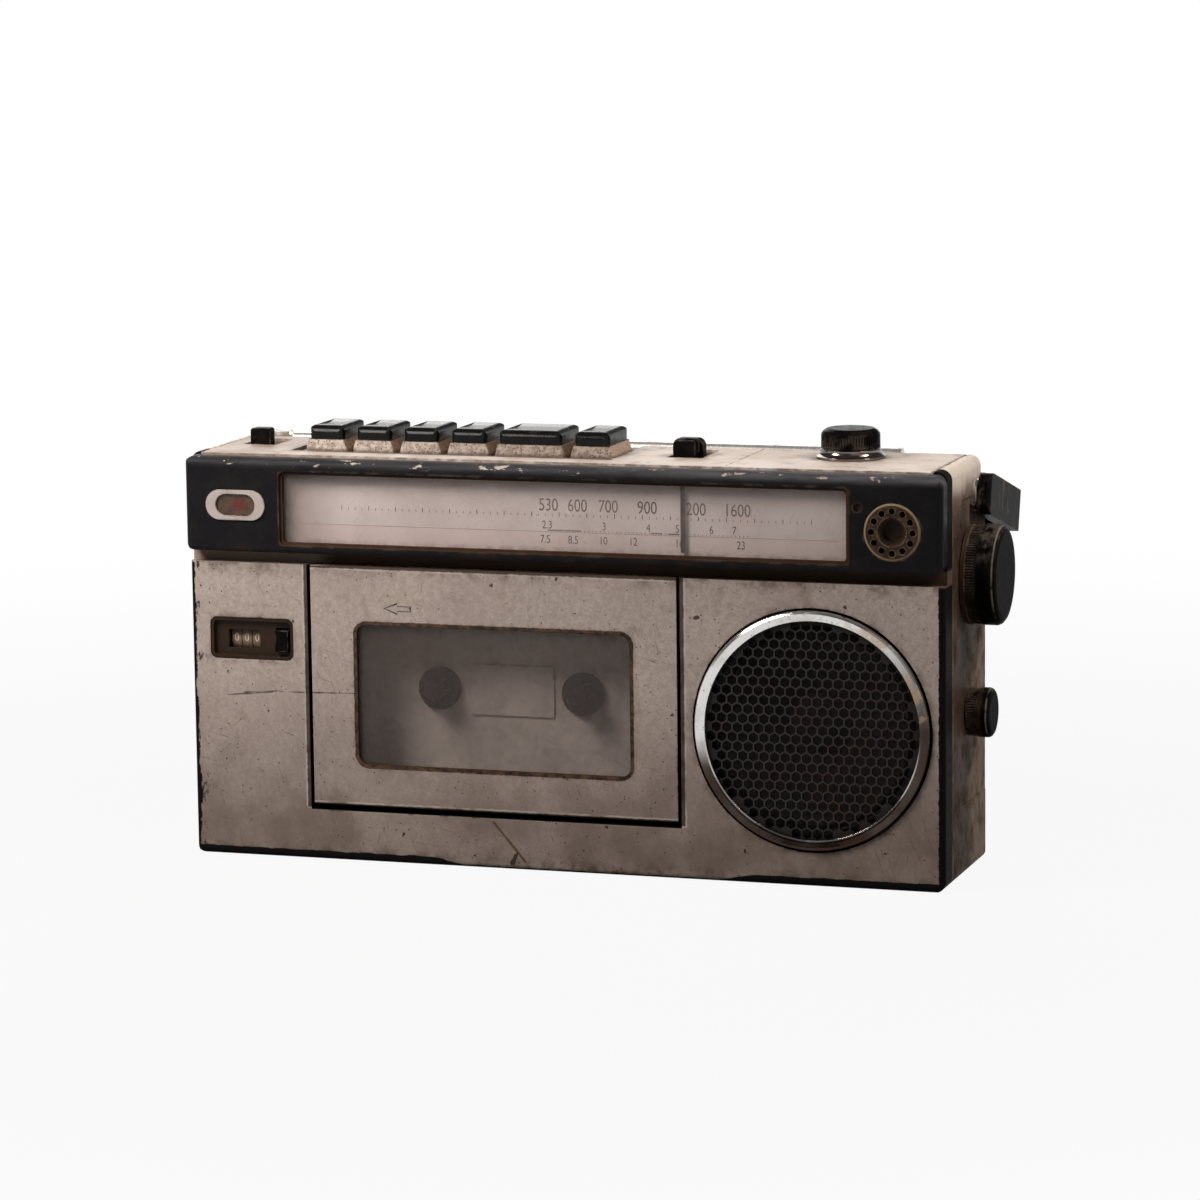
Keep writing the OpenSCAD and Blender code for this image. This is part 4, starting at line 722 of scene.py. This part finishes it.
def printed_scale():
    """Pale pinkish scale, uneven in tone, with a redder lowest row and dirt at its ends."""
    f = Finish("printed_scale")
    broad = f.patches(0.3, 0.7, 40, 5, 0.6)
    paper = f.blend(broad, rgb(215, 201, 197), rgb(200, 184, 179))
    low_row = f.ramp(f.z, dial_low.z + 5.9 * MM, dial_low.z + 5.7 * MM)
    paper = f.tint(paper, low_row, 0.5, rgb(214, 190, 182))
    ends = f.either(f.ramp(f.x, dial_low.x + 8 * MM, dial_low.x + 1 * MM),
                    f.ramp(f.z, dial_low.z + 1.8 * MM, dial_low.z),
                    f.ramp(f.x, dial_high.x - 5 * MM, dial_high.x))
    patchy = f.patches(0.36, 0.66, 260, 5, 0.65)
    paper = f.tint(paper, f.times(ends, patchy), 0.6, rgb(112, 88, 74))
    shaded = f.ramp(f.x, dial_low.x + 20 * MM, dial_low.x + 2 * MM)
    paper = f.tint(paper, shaded, 0.65, rgb(116, 98, 90))
    specks = f.either(f.specks(260, 0.08, 0.22), f.specks(110, 0.04, 0.25))
    paper = f.tint(paper, specks, 0.55, rgb(110, 86, 74))
    f.bump(f.noise(900, 3), 0.02)
    return f.give(Base_Color=paper, Roughness=0.6, Specular_IOR_Level=0.25)


def dusty_clear(name, dust_colour, least, most):
    """Clear moulding under dust and fine scratches; the dust hides from least to most of what is behind."""
    f = Finish(name)
    blotchy = f.patches(0.32, 0.74, 70, 5, 0.65)
    lines = f.either(f.scratches(31, 0.27, 1), f.scratches(-52, 0.27, 7), f.scratches(84, 0.27, 4))
    specks = f.either(f.specks(320, 0.08, 0.25), f.specks(120, 0.04, 0.25))
    hides = f.either(f.level(blotchy, least, most), f.times(lines, most + 0.12), f.times(specks, 0.6))
    colour = f.tint(dust_colour, specks, 0.7, DIRT)
    f.bump(f.noise(500, 3), 0.02)
    rough = f.level(blotchy, 0.16, 0.34)
    return f.give(Base_Color=colour, Roughness=rough, Alpha=hides, Specular_IOR_Level=0.6)


def amber_window():
    """Brown tinted window with a red spot where the lamp behind it shows."""
    f = Finish("amber_window")
    lamp_x, _, lamp_z = (lamp_low + lamp_high) / 2
    lens = f.ramp_mm(f.round_distance(lamp_x + 0.9 * MM, lamp_z), 2.1, 1.3)
    uneven = f.patches(0.35, 0.68, 420, 4)
    tint = f.blend(uneven, rgb(88, 60, 40), rgb(60, 40, 28))
    tint = f.tint(tint, lens, 0.9, rgb(98, 26, 19))
    f.bump(f.noise(900, 3), 0.03, 0.3)
    return f.give(Base_Color=tint, Roughness=f.level(uneven, 0.18, 0.4), Alpha=f.level(uneven, 0.86, 0.95))


def bronze_mic():
    """Dark brown pressed cap of the microphone with paler worn ridges."""
    f = Finish("bronze_mic")
    dust = f.patches(0.4, 0.7, 420, 5, 0.65)
    shade = f.blend(dust, rgb(50, 37, 28), rgb(84, 65, 50))
    ridge = f.ramp(f.edges(0.6), 0.02, 0.14)
    shade = f.tint(shade, ridge, f.patches(0.35, 0.6, 500, 3), rgb(150, 126, 102))
    mic_x, _, mic_z = (mic_low + mic_high) / 2
    mic_r = (mic_high.x - mic_low.x) / 2
    from_middle = f.round_distance(mic_x, mic_z)
    rim = f.ramp(from_middle, mic_r - 0.8 * MM, mic_r - 0.5 * MM)
    shade = f.tint(shade, rim, 0.8, rgb(158, 132, 106))
    # Painted shade: the deeper surfaces, in the holes, are painted dark brown.
    deep = f.ramp(f.y, mic_low.y + 0.3 * MM, mic_low.y + 0.9 * MM)
    shade = f.tint(shade, deep, 0.9, rgb(40, 27, 19))
    f.bump(f.noise(1200, 3), 0.05, 0.2)
    return f.give(Base_Color=shade, Roughness=0.55, Specular_IOR_Level=0.08)


def dusty_grille():
    """Black punched sheet with brown dust caught on its webs, thicker towards the lower right."""
    f = Finish("dusty_grille")
    dust = f.patches(0.42, 0.72, 160, 5, 0.65)
    low_right = f.ramp(f.minus(f.x, f.z), ring_low.x - ring_high.z, ring_high.x - ring_low.z)
    share = f.times(dust, f.level(low_right, 0.3, 0.75))
    shade = f.blend(share, rgb(62, 58, 59), rgb(70, 51, 40))
    shade = f.tint(shade, f.specks(300, 0.08, 0.1), 0.5, rgb(122, 100, 84))
    from_middle = f.round_distance(ring_x, ring_z)
    # Painted shadow of the ring on the grille, dark next to the ring.
    by_ring = f.ramp(from_middle, ring_flange_r - 9 * MM, ring_flange_r - 4 * MM)
    shade = f.tint(shade, by_ring, 0.75, rgb(26, 22, 21))
    # Painted shade: the walls of the holes, which do not face the front, are painted nearly black.
    shade = f.blend(f.ramp(f.facing_y, -0.7, -0.3), shade, rgb(14, 12, 12))
    f.bump(f.noise(1500, 3), 0.04, 0.25)
    return f.give(Base_Color=shade, Roughness=f.level(dust, 0.4, 0.62), Specular_IOR_Level=0.05)


def scuffed_grip():
    """Grained black covering of the handle, worn brown and grey."""
    f = Finish("scuffed_grip")
    grain = f.noise(1400, 5, 0.65)
    rub = f.patches(0.45, 0.7, 90, 5, 0.65)
    shade = f.tint(rgb(20, 19, 19), rub, 0.6, rgb(86, 74, 66))
    rim = f.times(f.ramp(f.edges(1.2), 0.03, 0.16), f.patches(0.42, 0.58, 320, 4))
    shade = f.tint(shade, rim, 0.6, rgb(128, 108, 92))
    scuffs = f.patches(0.54, 0.64, 1.0, 5, 0.7, (300, 300, 90), shift=4)
    shade = f.tint(shade, scuffs, 0.4, rgb(116, 103, 92))
    f.bump(f.plus(grain, f.times(rub, 0.6)), 0.16, 0.6)
    return f.give(Base_Color=shade, Roughness=f.level(rub, 0.3, 0.6), Specular_IOR_Level=0.006)


def paper_cone():
    """Pressed paper of the speaker cone with fibres in it."""
    f = Finish("paper_cone")
    fibre = f.noise(900, 5, 0.7)
    shade = f.blend(fibre, rgb(34, 31, 30), rgb(62, 55, 50))
    f.bump(fibre, 0.08)
    return f.give(Base_Color=shade, Roughness=0.85, Specular_IOR_Level=0.2)


def green_board():
    """Board with lighter tracks under the green mask."""
    f = Finish("green_board")
    tracks = f.add("ShaderNodeTexBrick", {"Vector": f.coords, "Scale": 90, "Mortar Size": 0.05})
    shade = f.blend(tracks.outputs["Fac"], rgb(52, 74, 40), rgb(92, 104, 56))
    shade = f.tint(shade, f.patches(0.5, 0.75, 220, 4), 0.5, DIRT)
    f.bump(tracks.outputs["Fac"], 0.04, 0.2)
    return f.give(Base_Color=shade, Roughness=0.5)


def print_ink(name, colour):
    """Printed marks, thinned in places."""
    f = Finish(name)
    thin = f.patches(0.5, 0.8, 900, 4, 0.7)
    return f.give(Base_Color=f.tint(colour, thin, 0.45, rgb(150, 132, 124)), Roughness=0.6)


def paint_nodes():
    """Gives each CAD node its finish."""
    finishes = {
        worn_silver_paint(): ["front_cabinet", "cassette_door"],
        grimy_case(): ["rear_cabinet", "battery_door"],
        worn_black_band(): ["band_bezel"],
        stained_ivory(): ["top_plate"],
        capped_key(): ["key_pause", "key_stop", "key_forward", "key_rewind", "key_play", "key_record"],
        gloss_black("gloss_black", 0.55): ["function_knob", "band_knob", "volume_knob", "reset_button"],
        dusty_side_knob("tuning_black", "tuning_knob"): ["tuning_knob"],
        dusty_side_knob("tone_black", "tone_knob"): ["tone_knob"],
        old_chrome("old_chrome", 0.15, 0.0): ["handle_pivots"],
        old_chrome("collar_chrome", 0.85, 0.0): ["volume_ring"],
        old_chrome("ring_chrome", 0.1, 1.0): ["speaker_ring"],
        printed_scale(): ["dial_scale"],
        dusty_clear("dial_clear", rgb(205, 190, 182), 0.05, 0.14): ["dial_window"],
        dusty_clear("door_clear", rgb(88, 74, 68), 0.24, 0.36): ["door_window"],
        amber_window(): ["indicator_window"],
        bronze_mic(): ["mic_bezel"],
        dusty_grille(): ["speaker_grille"],
        scuffed_grip(): ["handle"],
        paper_cone(): ["speaker_cone"],
        green_board(): ["circuit_board"],
        plain_moulding("chalk_white", rgb(182, 170, 163), 0.25): ["indicator_frame"],
        plain_moulding("drum_brown", rgb(142, 119, 101), 0.35): ["counter_wheels"],
        plain_moulding("lamp_red", rgb(150, 30, 22), 0.1): ["indicator_lamp"],
        plain_moulding("deck_grey", rgb(246, 226, 214), 0.2): ["deck_plate"],
        plain_moulding("brown_counter", rgb(42, 28, 18), 0.5): ["counter_housing", "mic_capsule"],
        plain_moulding("soot_black", rgb(28, 25, 24), 0.5): ["dial_pointer", "jack_block", "speaker_frame"],
        plain_moulding("reel_black", rgb(30, 28, 28), 0.15): ["reel_takeup", "reel_supply"],
        plain_moulding("rubber_black", rgb(30, 29, 29), 0.3): ["drive_belt", "pinch_roller"],
        plain_moulding("milky_plastic", rgb(208, 200, 186), 0.2): ["tuning_capacitor"],
        dull_steel("pale_nickel", rgb(234, 230, 224)): ["antenna_base", "antenna_tube", "antenna_rod"],
        dull_steel("dull_brass", rgb(186, 152, 92)): ["motor_pulley", "battery_contacts"],
        dull_steel("dull_steel", rgb(150, 148, 144)): [
            "key_bracket", "slide_switches", "control_pots", "pointer_rail", "cassette_carrier",
            "chassis_plate", "flywheel", "motor", "head_bridge", "tape_heads", "cabinet_screws"],
    }
    painted = set()
    for material, names in finishes.items():
        for name in names:
            piece = nodes[name]
            if not piece.material_slots:
                piece.data.materials.append(material)
            for slot in piece.material_slots:
                slot.link = "OBJECT"
                slot.material = material
            painted.add(name)
    bare = sorted(set(nodes) - painted)
    if bare:
        raise ValueError(f"no finish for {bare}")


# Printed marks and small repeated pieces

def mesh_piece(name, mesh, material, body):
    """New piece in one material, riding on a body."""
    mesh.materials.clear()
    mesh.materials.append(material)
    piece = put(name, mesh)
    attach(piece, body)
    return piece


def take_mesh(holder):
    """Plain mesh of an object that only served to make it."""
    evaluated = holder.evaluated_get(bpy.context.evaluated_depsgraph_get())
    mesh = bpy.data.meshes.new_from_object(evaluated)
    bpy.data.objects.remove(holder)
    return mesh


def text_mesh(words, height, narrow):
    """Mesh of words in the XZ plane, facing the front and centred on the origin."""
    thickness = 0.04 * MM
    digit_share = 0.69
    curve = bpy.data.curves.new("words", "FONT")
    curve.body = words
    curve.align_x = "CENTER"
    curve.align_y = "CENTER"
    curve.size = height / digit_share
    curve.extrude = thickness / 2
    mesh = take_mesh(put("words", curve))
    mesh.transform(Matrix.Rotation(math.radians(90), 4, "X") @ Matrix.Diagonal((narrow, 1, 1, 1)))
    bpy.data.curves.remove(curve)
    return mesh


def join_meshes(name, placed):
    """One mesh of several, each moved by its own offset."""
    points = []
    faces = []
    for mesh, offset in placed:
        start = len(points)
        points += [vertex.co + offset for vertex in mesh.vertices]
        faces += [[start + k for k in polygon.vertices] for polygon in mesh.polygons]
    joined = bpy.data.meshes.new(name)
    joined.from_pydata([tuple(p) for p in points], [], faces)
    return joined


def dial_numbers(ink):
    """Three rows of plain numbers on the scale."""
    narrow = 0.78
    # Z of each row, height of its digits, and the numbers with their X, in millimetres
    rows = [
        (102.8, 3.4, [("530", -3.1), ("600", 5.3), ("700", 14.2), ("900", 25.4), ("1200", 38.4),
                      ("1600", 51.1)]),
        (97.3, 2.2, [("2.3", -3.5), ("3", 13), ("4", 25.7), ("5", 34), ("6", 43.7), ("7", 50.2)]),
        (93.3, 2.2, [("7.5", -4.1), ("8.5", 4), ("10", 12.7), ("12", 21.3), ("16", 34.5), ("23", 52.1)]),
    ]
    placed = []
    for z, height, numbers in rows:
        for words, x in numbers:
            offset = Vector((x * MM, dial_low.y - print_lift, z * MM))
            placed.append((text_mesh(words, height * MM, narrow), offset))
    mesh_piece("dial_numbers", join_meshes("dial_numbers", placed), ink, "cabinet")


def new_tree(name, sockets):
    """Empty geometry tree with named inputs and the two end nodes."""
    tree = bpy.data.node_groups.new(name, "GeometryNodeTree")
    for label, kind, value in sockets:
        socket = tree.interface.new_socket(label, in_out="INPUT", socket_type=kind)
        if value is not None:
            socket.default_value = value
    tree.interface.new_socket("Geometry", in_out="OUTPUT", socket_type="NodeSocketGeometry")
    return tree, tree.nodes.new("NodeGroupInput"), tree.nodes.new("NodeGroupOutput")


def end_tree(tree, end, spread, material):
    """Makes the spread copies real, gives them their material and ends the tree."""
    real = add_node(tree, "GeometryNodeRealizeInstances", {"Geometry": spread.outputs["Instances"]})
    coated = add_node(tree, "GeometryNodeSetMaterial", {
        "Geometry": real.outputs["Geometry"], "Material": material})
    feed(tree, end.inputs["Geometry"], coated.outputs["Geometry"])
    return tree


def grow(name, tree, values, points=None):
    """Plain mesh that a geometry tree makes from its inputs, and from points where it takes some."""
    start = bpy.data.meshes.new(name)
    start.from_pydata([tuple(p) for p in points or []], [], [])
    holder = put(name, start)
    modifier = holder.modifiers.new(name, "NODES")
    modifier.node_group = tree
    for item in tree.interface.items_tree:
        if item.in_out == "INPUT" and item.name in values:
            modifier[item.identifier] = values[item.name]
    return take_mesh(holder)


def tick_tree(ink):
    """Row of thin upright marks between two points."""
    tree, start, end = new_tree("tick_row", [
        ("First", "NodeSocketVector", (0, 0, 0)), ("Last", "NodeSocketVector", (1, 0, 0)),
        ("Count", "NodeSocketInt", 10), ("Size", "NodeSocketVector", (1, 1, 1))])
    given = start.outputs
    row = add_node(tree, "GeometryNodeMeshLine", {
        "Count": given["Count"], "Start Location": given["First"], "Offset": given["Last"]},
        mode="END_POINTS")
    mark = add_node(tree, "GeometryNodeMeshCube", {"Size": given["Size"]})
    spread = add_node(tree, "GeometryNodeInstanceOnPoints", {
        "Points": row.outputs["Mesh"], "Instance": mark.outputs["Mesh"]})
    return end_tree(tree, end, spread, ink)


def dial_ticks(ink):
    """Tick rows between the rows of numbers, and the dotted rule above the lowest row."""
    tree = tick_tree(ink)
    y = dial_low.y - print_lift
    thick = 0.04 * MM
    # First and last X, Z, how many, and the width and height of a mark, in millimetres
    rows = [
        (-64, 72, 100.1, 69, (0.16, 0.7)), (-64, 72, 100.3, 18, (0.22, 1.2)),
        (-2, 54, 95.9, 49, (0.2, 0.35)), (-1, 4, 95.9, 2, (4.5, 0.3)), (28, 33, 95.9, 2, (3.2, 0.3)),
        (-76, 79, 95.45, 195, (0.42, 0.16)),
    ]
    placed = []
    for first, last, z, count, (wide, high) in rows:
        mesh = grow("dial_ticks", tree, {
            "First": (first * MM, y, z * MM), "Last": (last * MM, y, z * MM), "Count": count,
            "Size": (wide * MM, thick, high * MM)})
        placed.append((mesh, Vector()))
    mesh_piece("dial_ticks", join_meshes("dial_ticks", placed), ink, "cabinet")


def door_arrow(ink):
    """Outlined arrow on the door that shows which way the tape runs."""
    middle_z = 72.5
    # X, and Z from the middle, in millimetres
    outline = [(-51.5, 0), (-47.4, 1.75), (-47.4, 0.8), (-43.3, 0.8), (-43.3, -0.8), (-47.4, -0.8),
               (-47.4, -1.75)]
    length = 8.2
    height = 3.5
    line = 0.47
    thickness = 0.03 * MM
    y = face_y - print_lift
    count = len(outline)
    centre_x = sum(x for x, z in outline) / count
    narrower = 1 - 2 * line / length
    lower = 1 - 2 * line / height
    inner = [(centre_x + (x - centre_x) * narrower, z * lower) for x, z in outline]
    points = [(x * MM, depth, (middle_z + z) * MM)
              for depth in (y, y + thickness) for ring in (outline, inner) for x, z in ring]
    faces = []
    for k in range(count):
        n = (k + 1) % count
        faces.append((k, count + k, count + n, n))
        faces.append((2 * count + k, 2 * count + n, 3 * count + n, 3 * count + k))
        faces.append((k, n, 2 * count + n, 2 * count + k))
        faces.append((count + k, 3 * count + k, 3 * count + n, count + n))
    mesh = bpy.data.meshes.new("door_arrow")
    mesh.from_pydata(points, [], faces)
    mesh_piece("door_arrow", mesh, ink, "door")


def counter_digits(ink):
    """Digits 0 to 9 round each counter drum, bent to its curve."""
    drums = 3
    digits = 10
    digit_height = 2.3 * MM
    narrow = 0.8
    lift = 0.015 * MM
    radius = (wheels_high.z - wheels_low.z) / 2 + lift
    _, axis_y, axis_z = (wheels_low + wheels_high) / 2
    width = (wheels_high.x - wheels_low.x) / drums
    placed = []
    for drum in range(drums):
        x = wheels_low.x + width * (drum + 0.5)
        for digit in range(digits):
            mesh = text_mesh(str(digit), digit_height, narrow)
            turn = -digit * 2 * math.pi / digits
            for vertex in mesh.vertices:
                angle = turn + vertex.co.z / radius
                reach = radius - vertex.co.y
                vertex.co = Vector((vertex.co.x + x, axis_y - reach * math.cos(angle),
                                    axis_z + reach * math.sin(angle)))
            placed.append((mesh, Vector()))
    mesh_piece("counter_digits", join_meshes("counter_digits", placed), ink, "counter")


def raised(tree, height, share):
    """Vector along Z, as long as a share of a height."""
    part = add_node(tree, "ShaderNodeMath", {0: height, 1: share}, operation="MULTIPLY")
    return add_node(tree, "ShaderNodeCombineXYZ", {"Z": part.outputs[0]}).outputs[0]


def screw_tree(steel):
    """Screw with a crossed recess in its head, on each point of the starting mesh, heads to the back."""
    head_sides = 28
    shank_sides = 16
    slot_turn = 0.4
    tree, start, end = new_tree("crossed_screws", [
        ("Geometry", "NodeSocketGeometry", None), ("Head Radius", "NodeSocketFloat", 1.0),
        ("Head Height", "NodeSocketFloat", 1.0), ("Shank Radius", "NodeSocketFloat", 0.5),
        ("Shank Length", "NodeSocketFloat", 2.0), ("Slot", "NodeSocketVector", (1, 1, 1))])
    given = start.outputs
    head = add_node(tree, "GeometryNodeMeshCylinder", {
        "Vertices": head_sides, "Radius": given["Head Radius"], "Depth": given["Head Height"]})
    lift = raised(tree, given["Head Height"], 0.5)
    slots = []
    for turn in (slot_turn, slot_turn + math.pi / 2):
        slot = add_node(tree, "GeometryNodeMeshCube", {"Size": given["Slot"]})
        placed = add_node(tree, "GeometryNodeTransform", {
            "Geometry": slot.outputs["Mesh"], "Translation": lift, "Rotation": (0, 0, turn)})
        slots.append(placed.outputs["Geometry"])
    recess = add_node(tree, "GeometryNodeMeshBoolean", {"Mesh 1": head.outputs["Mesh"], "Mesh 2": slots},
                      operation="DIFFERENCE", solver="EXACT")
    shank = add_node(tree, "GeometryNodeMeshCylinder", {
        "Vertices": shank_sides, "Radius": given["Shank Radius"], "Depth": given["Shank Length"]})
    lower = add_node(tree, "GeometryNodeTransform", {
        "Geometry": shank.outputs["Mesh"], "Translation": raised(tree, given["Shank Length"], -0.5)})
    whole = add_node(tree, "GeometryNodeJoinGeometry", {
        "Geometry": [recess.outputs["Mesh"], lower.outputs["Geometry"]]})
    spread = add_node(tree, "GeometryNodeInstanceOnPoints", {
        "Points": given["Geometry"], "Instance": whole.outputs["Geometry"],
        "Rotation": (-math.pi / 2, 0, 0)})
    return end_tree(tree, end, spread, steel)


def back_screws(steel):
    """The four cabinet screws, sunk in the back."""
    low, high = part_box("cabinet_screws")
    head_height = 2 * MM
    head_y = high.y - head_height / 2
    # X and Z of each screw, in millimetres
    places = [(-100, 90), (103, 77), (-103.5, 34.7), (40.55, 76)]
    mesh = grow("back_screws", screw_tree(steel), {
        "Head Radius": 3 * MM, "Head Height": head_height, "Shank Radius": 1.25 * MM,
        "Shank Length": high.y - low.y - head_height, "Slot": (3.6 * MM, 0.8 * MM, 2.2 * MM)},
        [(x * MM, head_y, z * MM) for x, z in places])
    screws = mesh_piece("back_screws", mesh, steel, "cabinet")
    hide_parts("cabinet_screws")


place_camera()
light_scene()
lay_floor()
paint_nodes()
scale_ink = print_ink("scale_ink", rgb(92, 78, 72))
door_ink = print_ink("door_ink", rgb(44, 35, 31))
drum_ink = print_ink("drum_ink", rgb(222, 208, 190))
dial_numbers(scale_ink)
dial_ticks(scale_ink)
door_arrow(door_ink)
counter_digits(drum_ink)
back_screws(dull_steel("screw_steel", rgb(140, 136, 130)))
bpy.context.scene.view_settings.view_transform = "Standard"
